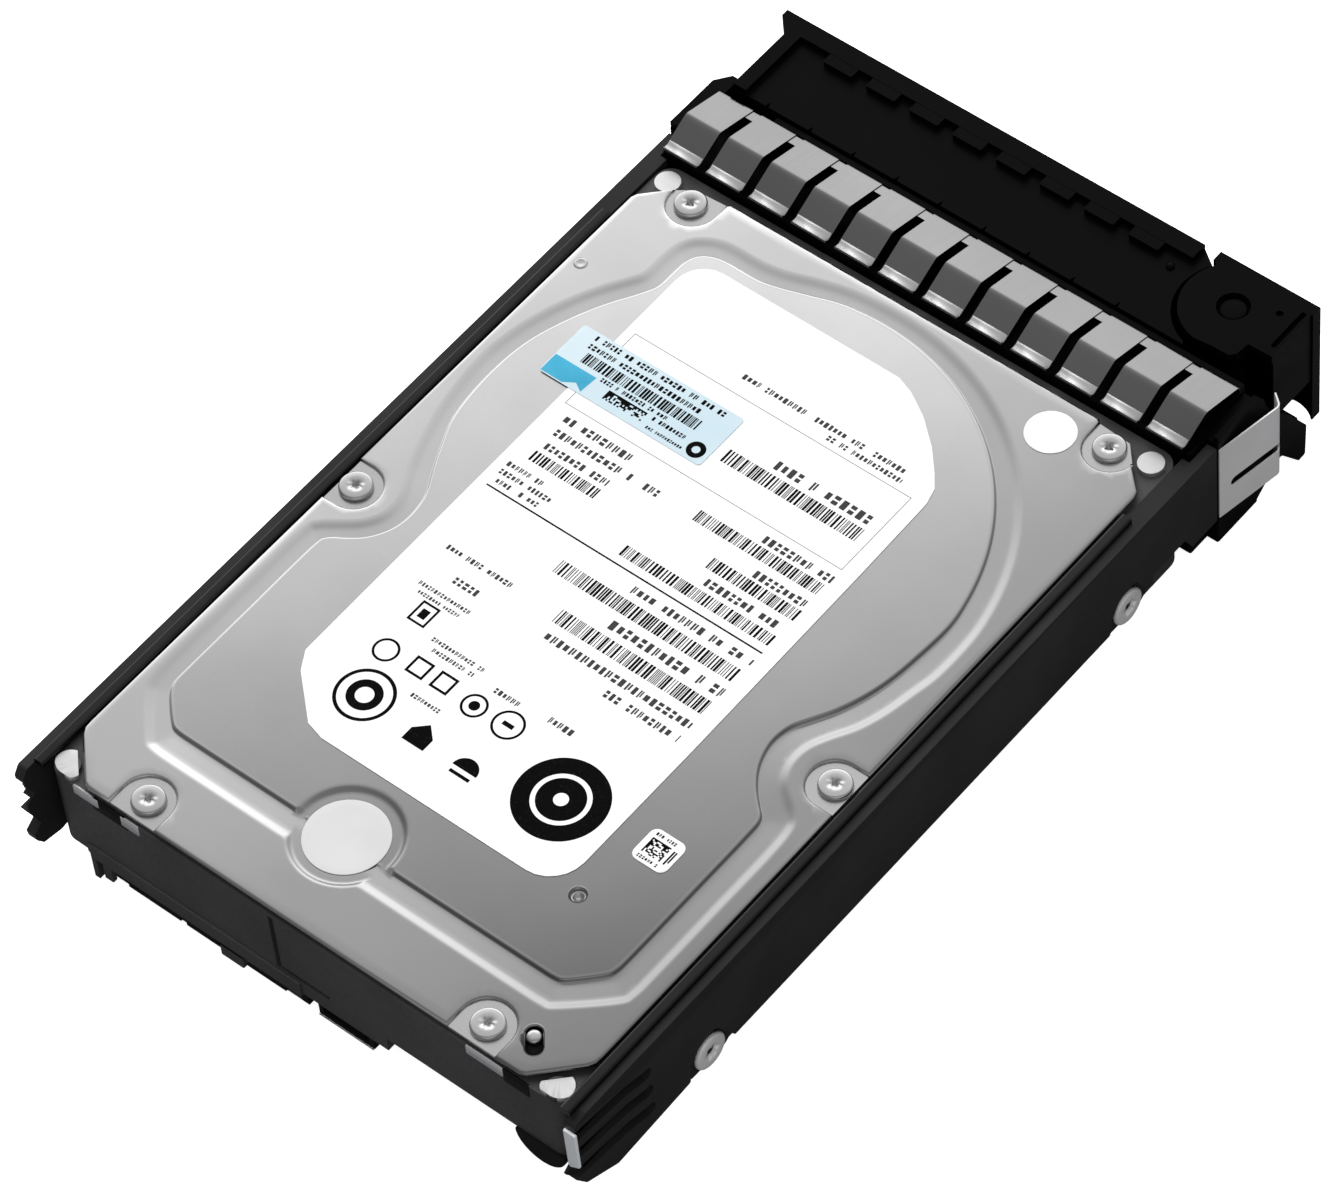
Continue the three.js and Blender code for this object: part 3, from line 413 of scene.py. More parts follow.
class Surface(Nodes):
    """A material made of one Principled shader and procedural patterns."""

    def __init__(self, name):
        self.material = bpy.data.materials.new(name)
        super().__init__(self.material)
        self.shader = self.add("ShaderNodeBsdfPrincipled")
        self.fill(self.add("ShaderNodeOutputMaterial"), Surface=self.shader.outputs[0])
        self.place = self.add("ShaderNodeTexCoord").outputs["Object"]

    def set(self, **inputs):
        self.fill(self.shader, **inputs)
        return self.material

    def noise(self, scale, detail=3, stretch=(1, 1, 1), rough=0.55):
        place = self.fill(self.add("ShaderNodeMapping"), Vector=self.place, Scale=stretch)[0]
        texture = self.add("ShaderNodeTexNoise")
        return self.fill(texture, Vector=place, Scale=scale, Detail=detail, Roughness=rough)["Fac"]

    def streaks(self, grain):
        return self.noise(160, 6, grain, 0.7)

    def rings(self, scale, distortion):
        """Fine rings round the part's vertical axis."""
        wave = self.add("ShaderNodeTexWave", wave_type="RINGS", rings_direction="Z")
        return self.fill(wave, Vector=self.place, Scale=scale, Distortion=distortion)["Fac"]

    def ramp(self, value, low, high, start=0.3, end=0.7):
        """Value moved from the range start..end to the range low..high."""
        node = self.add("ShaderNodeMapRange")
        reach = {"From Min": start, "From Max": end, "To Min": low, "To Max": high}
        return self.fill(node, Value=value, **reach)[0]

    def tone(self, value, dark, light):
        return self.mix(self.ramp(value, 0, 1), dark, light)

    def bump(self, height, strength, distance, below=None):
        """A relief of the given height, over another one where below is given."""
        node = self.add("ShaderNodeBump")
        if below is not None:
            self.feed(node.inputs["Normal"], below)
        return self.fill(node, Height=height, Strength=strength, Distance=distance)[0]


def grey(level):
    """A grey given as a screen level from 0 to 255, in linear light."""
    v = (level / 255) ** 2.2
    return (v, v, v)


def moulded_plastic(name, level, roughness, grain=1.0, sheen=0.15):
    """Fine spark-eroded grain, faint flow shading and a soft sheen."""
    n = Surface(name)
    return n.set(
        Base_Color=n.tone(n.noise(35, 2), grey(level * 0.86), grey(level * 1.14)),
        Roughness=n.ramp(n.noise(90), roughness - 0.05, roughness + 0.07),
        Specular_IOR_Level=sheen,
        Normal=n.bump(n.noise(5200, 2), 0.14 * grain, 0.00004),
    )


def coated_casting(name, level):
    """Black e-coat over die-cast metal: a slight orange peel over broad casting waves."""
    n = Surface(name)
    peel, waves = n.noise(1500), n.noise(60, 2)
    return n.set(
        Base_Color=n.tone(waves, grey(level * 0.88), grey(level * 1.1)),
        Roughness=n.ramp(peel, 0.4, 0.56),
        Specular_IOR_Level=0.55,
        Normal=n.bump(waves, 0.1, 0.0004, n.bump(peel, 0.16, 0.00006)),
    )


def sheet_steel(name, level, roughness, grain=(1, 40, 1), brush=0.5, blotch=0.05, metal=1.0):
    """Rolled or brushed metal: fine streaks in roughness and height, and faint blotches."""
    n = Surface(name)
    streaks = n.streaks(grain)
    return n.set(
        Base_Color=n.tone(n.noise(28), grey(level * (1 - blotch)), grey(level * (1 + blotch))),
        Metallic=metal,
        Roughness=n.ramp(streaks, roughness - 0.05, roughness + 0.06),
        Normal=n.bump(streaks, 0.1 * brush, 0.00003),
    )


def cover_steel(name, rim, plateau, roughness):
    """Matt rolled sheet, darker inside the channel, with painted shading that falls off towards one
    side and towards the rear.
    """
    n = Surface(name)
    zone = n.add("ShaderNodeAttribute", attribute_name="zone").outputs["Fac"]
    x, y, _ = n.fill(n.add("ShaderNodeSeparateXYZ"), Vector=n.place)
    # Painted shading: the tone grows darker towards the right and towards the rear, more steeply on
    # the plateau inside the channel.
    along = n.math("MULTIPLY", y, n.math("ADD", n.math("MULTIPLY", zone, 3.3), 2.2))
    tone = n.math("ADD", n.math("SUBTRACT", along, n.math("MULTIPLY", x, 5.5)), 1.0)
    streaks, specks = n.streaks((1, 40, 1)), n.noise(2400)
    tone = n.math("MULTIPLY", tone, n.ramp(n.noise(30), 0.94, 1.06))
    shade = n.add("ShaderNodeVectorMath", operation="SCALE")
    n.feed(shade.inputs[0], n.mix(zone, grey(rim), grey(plateau)))
    rough = n.ramp(streaks, roughness - 0.02, roughness + 0.03)
    return n.set(
        Base_Color=n.fill(shade, Scale=tone)[0],
        Metallic=1.0,
        Roughness=n.math("ADD", rough, n.math("MULTIPLY", zone, 0.03)),
        Normal=n.bump(specks, 0.02, 0.00001, n.bump(streaks, 0.008, 0.00002)),
    )


def turned_metal(name, colour, roughness):
    """Metal faced on a lathe, with fine rings."""
    n = Surface(name)
    clouds = n.noise(120)
    return n.set(
        Base_Color=n.tone(clouds, tuple(0.93 * c for c in colour), colour),
        Metallic=1.0,
        Roughness=n.ramp(clouds, roughness - 0.04, roughness + 0.06),
        Normal=n.bump(n.rings(2600 / 6, 0.3), 0.03, 0.00002),
    )


def paper_stock(name, colour, roughness=0.42, low=None):
    """Coated label stock: barely visible fibres, mottle and a satin top coat."""
    n = Surface(name)
    fibres = n.noise(2200, stretch=(1, 3, 1))
    return n.set(
        Base_Color=n.tone(n.noise(50, 4), low or tuple(c * 0.97 for c in colour), colour),
        Roughness=n.ramp(fibres, roughness - 0.04, roughness + 0.06),
        Specular_IOR_Level=0.35,
        Normal=n.bump(fibres, 0.05, 0.00002),
    )


def ink(name, level):
    """Thermal-transfer print with small voids."""
    n = Surface(name)
    voids = n.noise(4200, 2)
    return n.set(
        Base_Color=n.mix(n.ramp(voids, 0, 1, 0.62, 0.8), grey(level), grey(level + 40)),
        Roughness=n.ramp(voids, 0.45, 0.6),
        Specular_IOR_Level=0.05,
    )


def copper_winding(name):
    """Enamelled wire laid side by side."""
    n = Surface(name)
    turns = n.rings(900, 1.2)
    return n.set(
        Base_Color=n.mix(turns, (0.30, 0.10, 0.03), (0.80, 0.36, 0.14)),
        Metallic=0.9,
        Roughness=0.34,
        Normal=n.bump(turns, 0.5, 0.00008),
    )


def board_mask(name):
    """Green solder mask over a grid of copper tracks, with speckles of pads."""
    n = Surface(name)
    greens = {"Color1": (0.008, 0.075, 0.035), "Color2": (0.010, 0.095, 0.042)}
    tracks = n.fill(
        n.add("ShaderNodeTexBrick"), Vector=n.place, Scale=420, Mortar_Size=0.03,
        Mortar=(0.03, 0.17, 0.07), **greens,
    )
    cells = n.fill(n.add("ShaderNodeTexVoronoi"), Vector=n.place, Scale=520)
    pads = n.ramp(cells["Distance"], 1, 0, 0.16, 0.2)
    return n.set(
        Base_Color=n.mix(pads, tracks["Color"], (0.55, 0.42, 0.18)),
        Roughness=0.34,
        Normal=n.bump(tracks["Fac"], 0.2, 0.00003),
    )


def soft_foam(name, level):
    n = Surface(name)
    cells = n.noise(2600, 5, rough=0.7)
    return n.set(
        Base_Color=n.tone(cells, grey(level * 0.7), grey(level * 1.3)),
        Roughness=0.9,
        Normal=n.bump(cells, 0.5, 0.0001),
    )


def light_guide(name):
    """Clear moulded acrylic over black, slightly smoky."""
    n = Surface(name)
    haze = n.noise(300)
    return n.set(
        Base_Color=n.tone(haze, grey(9), grey(15)),
        Roughness=n.ramp(haze, 0.08, 0.18),
        Coat_Weight=0.25,
        Coat_Roughness=0.05,
        Specular_IOR_Level=0.3,
    )


NO_GRAIN = (1, 1, 1)
# Black moulded plastic; also laid as painted shade on the rail groove floors and in the rail
# screws' sockets.
PLASTIC_AND_SHADE = moulded_plastic("black_moulded_plastic_and_shade", 11, 0.36, sheen=0.05)
PLASTIC_SIDE = moulded_plastic("carrier_side_plastic", 40, 0.46, sheen=0.2)
# Black epoxy; also the dark blocks of painted shade under the cover's openings and in the casting's
# rear pockets.
CHIP_AND_SHADE = moulded_plastic("epoxy_black_and_shade", 26, 0.55, 1.6)
# A pale grey plastic laid on the connector edges as painted highlights.
PAINTED_EDGE_HIGHLIGHT = moulded_plastic("painted_edge_highlight", 110, 0.4)
CASTING = coated_casting("black_coated_casting", 62)
COVER_RIM = sheet_steel("cover_steel_rim", 200, 0.26, brush=0.35)
COVER_STEEL = cover_steel("cover_steel", 200, 209, 0.22)
SCREW_STEEL = sheet_steel("screw_steel", 205, 0.24, NO_GRAIN)
HEAD_STEEL = sheet_steel("screw_head_steel", 205, 0.2, NO_GRAIN)
STRIP_STEEL = sheet_steel("spring_steel", 130, 0.17, (30, 1, 1), 0.25, 0.03)
CONTACT_STEEL = sheet_steel("contact_steel", 232, 0.45, brush=0.3, metal=0.2)
FOIL = sheet_steel("foil_disc", 250, 0.36, (1, 6, 1), blotch=0.04)
# Bright pale metal for the casting's corner pads and rear patches; also the painted highlight on
# the contact strip's lips.
PAD_AND_HIGHLIGHT_METAL = sheet_steel("machined_pad_and_highlight", 250, 0.5, (1, 8, 1))
PAPER = paper_stock("label_paper", (0.86, 0.86, 0.86))
STICKER = paper_stock("sticker_film", (0.58, 0.68, 0.73), 0.3, (0.48, 0.61, 0.68))
TAPE_BLUE = paper_stock("cyan_tape", (0.05, 0.42, 0.62), 0.3, (0.015, 0.24, 0.40))
CLEAR_END = paper_stock("light_guide_end", (0.86, 0.90, 0.92), 0.12)
INK = ink("black_ink", 10)
INK_SOFT = ink("fine_print_ink", 62)
INK_GREY = ink("grey_ink", 120)
GUIDE = light_guide("light_guide")
MIRROR = turned_metal("platter_mirror", grey(232), 0.05)
ALUMINIUM = turned_metal("turned_aluminium", grey(205), 0.32)
GOLD = turned_metal("gold_contact", (0.75, 0.5, 0.18), 0.25)
PLATED = sheet_steel("nickel_plate", 215, 0.2)
COPPER = copper_winding("copper_winding")
BOARD = board_mask("board_green")
FOAM = soft_foam("foam_black", 26)
FILTER = soft_foam("filter_felt", 225)

# ---- the CAD nodes that stay in view get finished surfaces ---------------------------------

FINISHES = {
    "black_casting": CASTING,
    "stamped_steel": COVER_RIM,
    "bright_steel": SCREW_STEEL,
    "black_plastic": PLASTIC_AND_SHADE,
    "grey_plastic": PLASTIC_SIDE,
    "paper": FILTER,
    "black_rubber": FOAM,
    "disk_mirror": MIRROR,
    "aluminium": ALUMINIUM,
    "copper": COPPER,
    "magnet_plating": PLATED,
    "board_green": BOARD,
    "chip_black": CHIP_AND_SHADE,
    "clear_plastic": GUIDE,
}
EDGES = {"base_casting": 0.5, "magnet_plate_top": 0.2, "circuit_board": 0.1, "board_pad": 0.3}
OTHER_EDGES = 0.12

for part in frame["record"]["subparts"]:
    node = frame["nodes"][part["node"]]
    node.data.materials.clear()
    node.data.materials.append(FINISHES[part["material_slot"]])
    merge = node.modifiers.new("merge", "DECIMATE")
    merge.decimate_type, merge.angle_limit = "DISSOLVE", math.radians(0.5)
    soften(node, EDGES.get(part["node"], OTHER_EDGES), 2, 40)


# ---- top cover -----------------------------------------------------------------------------

POCKET_R = 4.35
INNER_WALL, OUTER_WALL = 0.32, 1.7
BOWL_DEPTH, BOWL_RADIUS, BOWL_WALL = 0.6, 9.3, 1.2
MIDDLE_OF_WALL = 8.7
SHEET = 0.85
GRID = 0.55
RIM = [(0.0, 0.5), (0.1, 0.25), (0.28, 0.07), (0.55, 0.0)]
COVER_HOLES = [disc(29.2, 29.1, 1.35, 36), capsule((39.6, 6.7), (41.2, 4.8), 1.45)]


def cover_outline():
    """The stamped cover's edge, running into the pocket round each screw."""
    loop = [(28.5, 0.2)]
    loop += [(p[0], p[1]) for p in arc(33, 3.7, 4.5, 180, 0, 14)]
    loop += [(37.5, 0.2), (42.2, 0.2), (43.2, 0.6), (49.4, 7), (50.1, 8.2), (50.2, 9.5)]
    loop += [(50.2, 62.6), (47.0, 62.6)]
    loop += arc(47, 66.95, POCKET_R, 270, 90, 14)[1:-1]
    loop += [(47.0, 71.3), (50.2, 71.3)]
    loop += [(50.2, 136.0), (49.9, 137.2), (46.1, 141.2)]
    loop += arc(41.6, 141.4, POCKET_R, -3, -180, 14)
    loop += [(37.25, 144.5), (36.6, 145.1), (-36.1, 145.1), (-36.7, 144.5)]
    loop += arc(-41.05, 141.6, POCKET_R, 0, -190, 14)
    loop += [(-49.8, 138.1), (-50.2, 137.0)]
    loop += [(-50.2, 71.5), (-47.3, 71.5)]
    loop += arc(-47.3, 67.1, POCKET_R, 90, -90, 14)[1:-1]
    loop += [(-47.3, 62.7), (-50.2, 62.7)]
    loop += [(-50.2, 9.5), (-50.1, 8.2), (-49.4, 7), (-43.2, 0.6), (-42.2, 0.2), (-37.9, 0.2)]
    loop += arc(-33.45, 3.7, 4.45, 180, 0, 14)
    loop += [(-29.0, 0.2)]
    return loop


# The channel's inner and outer edges: x and y of one, x and y of the other. Between the two
# runs, each edge follows an arc round the spindle.
CHANNEL_RIGHT = [
    (8, 16.0, 8, 10.7), (20, 16.0, 20, 10.7), (32, 16.0, 32, 10.7),
    (35.8, 16.1, 37.2, 10.8), (37.4, 16.8, 39.4, 11.6), (41.0, 20.4, 46.3, 17.8),
    (42.0, 22.2, 47.5, 20.4), (42.2, 26, 47.7, 26), (42.2, 40, 47.7, 40),
    (42.2, 52, 47.7, 52), (41.9, 55.6, 47.2, 57.4), (40.2, 57.4, 45.6, 59.8),
    (38.0, 59.6, 43.2, 61.6), (36.0, 62.4, 41.2, 63.4), (34.8, 65.4, 40.1, 65.6),
    (34.4, 68.4, 39.8, 67.8), (35.0, 71.5, 40.2, 70.2), (36.5, 74.2, 41.6, 73.1),
    (38.5, 77.7, 43.8, 76.9), (40.2, 81.9, 45.4, 81.5), (41.4, 86.6, 46.5, 86.9),
    (42.1, 92.3, 47.4, 92.3),
]
CHANNEL_LEFT = [
    (-9.5, 139.4, -9.5, 142.7), (-14.5, 137.8, -15, 141.3), (-19.5, 136.2, -20, 139.6),
    (-23.5, 135.4, -24.5, 138.8), (-30.0, 135.3, -31.5, 138.6), (-33.0, 134.2, -35.6, 136.8),
    (-34.3, 132.3, -37.6, 134.1), (-34.6, 130.0, -38.2, 130.6), (-34.7, 125.6, -38.3, 126.2),
    (-36.2, 122.4, -39.7, 123.6), (-38.6, 118.6, -41.9, 120.2), (-40.8, 114.4, -44.2, 115.8),
    (-42.8, 109.5, -46.2, 110.6), (-44.2, 104.6, -47.6, 105.2), (-44.8, 99, -48.3, 99),
    (-44.6, 92.2, -47.8, 92.2), (-43.6, 86, -46.7, 85.8), (-41.4, 80.6, -45.0, 80.0),
    (-39.5, 76.6, -43.2, 75.2), (-37.6, 73.0, -41.3, 71.5), (-36.8, 70.2, -40.4, 69.2),
    (-36.6, 67.0, -40.1, 66.8), (-37.3, 63.8, -40.7, 64.6), (-39.2, 60.7, -42.4, 62.3),
    (-41.7, 58.6, -45.0, 60.3), (-44.0, 57.0, -47.4, 58.4), (-44.8, 54.5, -48.4, 55.5),
    (-44.8, 40, -48.5, 40), (-44.8, 26, -48.5, 26), (-44.6, 22.4, -48.1, 20.8),
    (-43.4, 20.3, -46.9, 18.2), (-39.8, 16.8, -41.4, 12.0), (-38.2, 16.1, -39.2, 10.9),
    (-34, 16.0, -34, 10.7), (-20, 16.0, -20, 10.7),
]


def channel_lines():
    """The channel's inner and outer edges, paired point by point, anticlockwise."""
    rows = list(CHANNEL_RIGHT)
    for angle in range(6, 96, 8):
        a = math.radians(angle)
        radii = 42.7 + 1.9 * (angle / 90) ** 1.4, 47.6 + 0.3 * angle / 90
        rows.append([v for r in radii for v in (r * math.cos(a), SPINDLE_Y + r * math.sin(a))])
    rows += CHANNEL_LEFT
    return [row[:2] for row in rows], [row[2:] for row in rows]


def ease(t):
    return t * t * (3 - 2 * t)


def channel_depth(points, inner, outer):
    """How far the sheet is pressed down at each point, and how far it is on the plateau."""
    to_inner, in_inner = distance_to(points, inner)
    to_outer, in_outer = distance_to(points, outer)
    to_inner = np.where(in_inner, -to_inner, to_inner)
    to_outer = np.where(in_outer, to_outer, -to_outer)
    wall = ease(np.clip(to_inner / INNER_WALL, 0, 1))
    t = np.clip(to_outer / OUTER_WALL, 0, 1)
    slope = 0.5 * (ease(t) + t)
    fall = np.clip((to_outer - OUTER_WALL) / 3.0, 0, 1)
    channel = wall * (0.5 * slope + 0.26 * fall)
    bowl = BOWL_DEPTH * ease(np.clip((BOWL_RADIUS - from_seal(points)) / BOWL_WALL, 0, 1))
    return np.maximum(channel, bowl), ease(np.clip(-to_inner / 0.5, 0, 1))


def cover_grid(inner, outer, edge):
    """A square grid of points, closer near the channel, that leaves its walls free."""
    xs, ys = np.arange(-50.05, 50.1, GRID), np.arange(0.0, 145.1, GRID)
    grid = np.stack(np.meshgrid(xs, ys), -1).reshape(-1, 2)
    to_inner, in_inner = distance_to(grid, inner[::2])
    to_outer, in_outer = distance_to(grid, outer[::2])
    radial = from_seal(grid)
    near = (in_outer & ~in_inner) | (to_inner < 1.8) | (to_outer < 1.5)
    near |= np.abs(radial - 8.6) < 2.2
    walls = (to_inner < 0.85) | ((to_outer < 2.0) & in_outer) | (to_outer < 0.6)
    walls |= np.abs(radial - MIDDLE_OF_WALL) < 1.0
    coarse = (np.arange(len(grid)) % 2 == 0) & (np.mod(np.round(grid[:, 1] / GRID), 2) == 0)
    from_edge, in_edge = distance_to(grid, edge)
    return grid[(near | coarse) & ~walls & in_edge & (from_edge > 0.45)]


def wall_rows(inner, outer, edge):
    """Rows of points that follow both walls of the channel and the wall of the seal's bowl."""
    rows = []
    runs = [(inner, outer, -d) for d in (-0.6, -0.25, 0, 0.12, 0.24, 0.36, 0.5)]
    runs += [(outer, inner, d) for d in (-0.35, 0, 0.35, 0.7, 1.05, 1.4, 1.75)]
    for line, other, distance in runs:
        row = np.array(inset(line, distance))
        far, within = distance_to(row, other)
        clear = (~within & (far > 0.75)) if line is outer else within
        rows.append(row[clear & (np.abs(from_seal(row) - MIDDLE_OF_WALL) > 1.0)])
    for radius in (9.6, 9.3, 9.0, 8.7, 8.4, 8.1, 7.8):
        rows.append(np.array(disc(SEAL_X, SEAL_Y, radius, 96)))
    rows = np.concatenate(rows)
    from_edge, in_edge = distance_to(rows, edge)
    return rows[in_edge & (from_edge > 0.3)]


def top_cover():
    """A pressed sheet: rounded edge, screw pockets, and one channel looping round it."""
    outline = cover_outline()
    if signed_area(outline) < 0:
        outline = outline[::-1]
    loops = [inset(outline, d) for d, _ in RIM]
    edge = loops[-1]
    inner, outer = (resample(spline(line, 6), 0.6) for line in channel_lines())
    free = np.concatenate([cover_grid(inner, outer, edge), wall_rows(inner, outer, edge)])
    for hole in COVER_HOLES:
        away, within = distance_to(free, hole)
        free = free[(away > 1.7) & ~within]
    collars = [p for hole in COVER_HOLES for d in (0.25, 0.7, 1.3) for p in inset(hole, -d)]
    extra = [tuple(p) for p in free] + collars
    points, faces = triangulate([edge, *COVER_HOLES], extra, CDT_INSIDE)
    depth, plateau = channel_depth(np.array(points), inner, outer)
    vertices = [(x, y, COVER_TOP - d) for (x, y), d in zip(points, depth)]
    number = {(round(x, 3), round(y, 3)): i for i, (x, y) in enumerate(points)}

    def numbers(loop):
        return [number[(round(x, 3), round(y, 3))] for x, y in loop]

    def add_ring(loop, drop):
        start = len(vertices)
        vertices.extend((x, y, COVER_TOP - drop) for x, y in loop)
        return list(range(start, len(vertices)))

    rings = [add_ring(loop, drop) for loop, (_, drop) in zip(loops[:-1], RIM)]
    rings = [add_ring(inset(outline, d), SHEET) for d in (0.0, 0.8)][::-1] + rings
    faces += stitched([*rings, numbers(edge)])
    for hole in COVER_HOLES:
        ring, n = numbers(hole), len(hole)
        for distance, drop in ((0.08, 0.05), (0.14, 0.16), (0.16, 1.2)):
            below = add_ring(inset(hole, distance), drop)
            turns = [(i, (i + 1) % n) for i in range(n)]
            faces += [(ring[j], ring[i], below[i], below[j]) for i, j in turns]
            ring = below
    cover = [(vertices, faces)]
    obj = piece("cover_sheet", cover, COVER_STEEL, "stamped_steel", replaces="top_cover")
    zone = obj.data.attributes.new("zone", "FLOAT", "POINT")
    zone.data.foreach_set("value", list(plateau) + [0.0] * (len(vertices) - len(plateau)))


def pocket_floors():
    """The pressed-down seats under the six cover screws, a little below the sheet."""
    floor = COVER_TOP - 0.55
    seats = [
        [(28.3, 0.35), (37.7, 0.35), *arc(33, 3.7, 4.7, 0, 180)],
        [(-38.1, 0.35), (-28.8, 0.35), *arc(-33.45, 3.7, 4.7, 0, 180)],
        [(50.0, 62.4), (50.0, 71.5), *arc(47, 66.95, 4.6, 90, 270)],
        [(-50.0, 71.7), (-50.0, 62.5), *arc(-47.3, 67.1, 4.6, -90, 90)],
        [(46.1, 141.0), (43.2, 144.2), (37.0, 144.6), *arc(41.6, 141.4, 4.6, 180, 354)],
        [(-36.5, 144.7), (-43.0, 144.3), (-45.6, 142.3), *arc(-41.05, 141.6, 4.6, 172, 360)],
    ]
    seats = [seat if signed_area(seat) > 0 else seat[::-1] for seat in seats]
    solids = [prism(seat, floor - 0.55, floor) for seat in seats]
    piece("cover_screw_seats", solids, COVER_RIM, "stamped_steel", soft=(0.12, 2))


def lobed(cx, cy, r, n=48):
    """The six-lobed outline of a socket."""
    angles = [2 * math.pi * i / n for i in range(n)]
    radii = [r * (1 + 0.13 * math.cos(6 * a)) for a in angles]
    return [(cx + s * math.cos(a), cy + s * math.sin(a)) for a, s in zip(angles, radii)]


def screw_head(cx, cy, low, radius, height, socket):
    """A cheese head with a rounded rim and a six-lobed socket."""
    edge, top = min(0.45, height * 0.45), low + height
    outlines = [(radius, low), (radius, top - edge)]
    for a in (math.radians(90 * k / 4) for k in range(1, 5)):
        outlines.append((radius - edge * (1 - math.cos(a)), top - edge + edge * math.sin(a)))
    outlines = [(disc(cx, cy, r), z) for r, z in [*outlines, (radius * 0.6, top + 0.03)]]
    deep = top - min(0.9, height * 0.8)
    for share, z in ((1, top + 0.02), (0.9, top - 0.12), (0.86, deep)):
        outlines.append((lobed(cx, cy, socket * share), z))
    vertices = [(x, y, z) for ring, z in outlines for x, y in ring]
    n = len(outlines[0][0])
    rings = [tuple(range(k * n, (k + 1) * n)) for k in range(len(outlines))]
    return vertices, [*stitched(rings), rings[-1], rings[0][::-1]]


def even_normals(obj):
    obj.modifiers.new("weighted", "WEIGHTED_NORMAL")


def below_cover(cx, cy, profile, n):
    """A round solid from (radius, depth below the cover's top) points."""
    return turned(cx, cy, [(r, COVER_TOP - d) for r, d in profile], n)


def cover_openings():
    """What shows in the cover's openings: dark blocks of painted shade for their depths, a bright
    pin, and a small dimple.
    """
    low, high = COVER_TOP - 2.0, COVER_TOP - 1.3
    # Dark blocks below the openings: painted shade.
    deep = [box(27.5, 30.9, 27.4, 30.8, low, high), box(37.8, 43.0, 2.9, 8.5, low, high)]
    piece("cover_opening_shade", deep, CHIP_AND_SHADE, "chip_black")
    pin = [(1.2, 1.3), (1.2, 0.35), (0.95, 0.1), (0.4, 0), (0, 0)]
    dish = [(1.2, 1.3), (1.2, 0.5), (0.8, 0.75), (0.55, 1.25), (0, 1.28)]
    dimple = [(1.2, 0.05), (1.15, -0.06), (0.8, -0.1), (0.5, -0.02), (0, 0)]
    solids = [below_cover(39.8, 6.4, pin, 28), below_cover(29.2, 29.1, dish, 32)]
    solids.append(below_cover(-47.6, 121.7, dimple, 32))
    piece("cover_small_pins", solids, SCREW_STEEL, "bright_steel", soft=(0, 1))


def middle(node):
    (x0, y0, _), (x1, y1, _) = span(node)
    return (x0 + x1) / 2, (y0 + y1) / 2


top_cover()
pocket_floors()
cover_openings()
for node in (f"cover_screw_{number}" for number in range(1, 7)):
    head = screw_head(*middle(node), COVER_TOP - 0.6, 2.75, 0.95, 0.55)
    even_normals(piece(f"{node}_head", [head], HEAD_STEEL, "bright_steel", replaces=node))

# ---- labels, stickers and small discs ------------------------------------------------------

INK_THICKNESS = 0.012
LABEL_Z = COVER_TOP + 0.03
STICKER_Z = LABEL_Z + 0.15


def thin_sheet(name, outline, low, thick, material, replaces=None):
    solids = [prism(outline, low, low + thick)]
    piece(name, solids, material, "paper", replaces=replaces, soft=(0.03, 1))


class Print:
    """Flat printed marks gathered into one thin object: bars, blocks and rings, never letters."""

    def __init__(self, z, seed):
        self.z, self.solids = z, []
        self.dice = np.random.default_rng(seed)

    def shape(self, outline, *holes):
        self.solids.append(prism([outline, *holes], self.z, self.z + INK_THICKNESS))

    def block(self, x0, x1, y0, y1, r=0.0):
        self.shape(rect(x0, x1, y0, y1, r))

    def ring(self, cx, cy, outer, inner, n=40, inner_n=40):
        self.shape(disc(cx, cy, outer, n), disc(cx, cy, inner, inner_n))

    def barcode(self, x0, x1, y0, y1):
        x = x0
        while x < x1 - 0.2:
            width = float(self.dice.choice([0.14, 0.14, 0.28, 0.42]))
            self.block(x, min(x + width, x1), y0, y1)
            x += width + float(self.dice.choice([0.14, 0.14, 0.28, 0.36]))

    def line(self, x0, x1, y0, y1):
        """A row of plain dashes of uneven length, standing for a line of small print."""
        height = y1 - y0
        x = x0
        while x < x1:
            width = height * float(self.dice.uniform(0.4, 0.6))
            if self.dice.random() > 0.14:
                self.dab(x, min(x + width, x1), y0, y1)
            x += width + height * 0.3

    def dab(self, x0, x1, y0, y1):
        """A small mark made of one or two solid blocks."""
        kind = self.dice.integers(4)
        width, height = x1 - x0, y1 - y0
        if width < 0.15:
            return
        if kind == 0:
            self.block(x0, x1, y0, y1, min(0.12, width * 0.3))
        elif kind == 1:
            self.block(x0, x1, y0, y0 + height * 0.42)
            self.block(x0, x1, y0 + height * 0.6, y1)
        elif kind == 2:
            self.block(x0, x1, y0 + height * 0.12, y1 - height * 0.12)
        else:
            self.block(x0, x0 + width * 0.42, y0, y1)
            self.block(x0 + width * 0.62, x1, y0 + height * 0.2, y1)

    def frame(self, x0, x1, y0, y1, w):
        self.block(x0, x1, y0, y0 + w)
        self.block(x0, x1, y1 - w, y1)
        self.block(x0, x0 + w, y0 + w, y1 - w)
        self.block(x1 - w, x1, y0 + w, y1 - w)

    def matrix(self, x0, y0, cell, columns, rows):
        for i in range(columns):
            for j in range(rows):
                if i == 0 or j == rows - 1 or self.dice.random() < 0.5:
                    x, y = x0 + i * cell, y0 + j * cell
                    self.block(x, x + cell * 1.02, y, y + cell * 1.02)

    def object(self, name, material):
        place(mesh_object(name, self.solids, smooth=False), material, "paper")


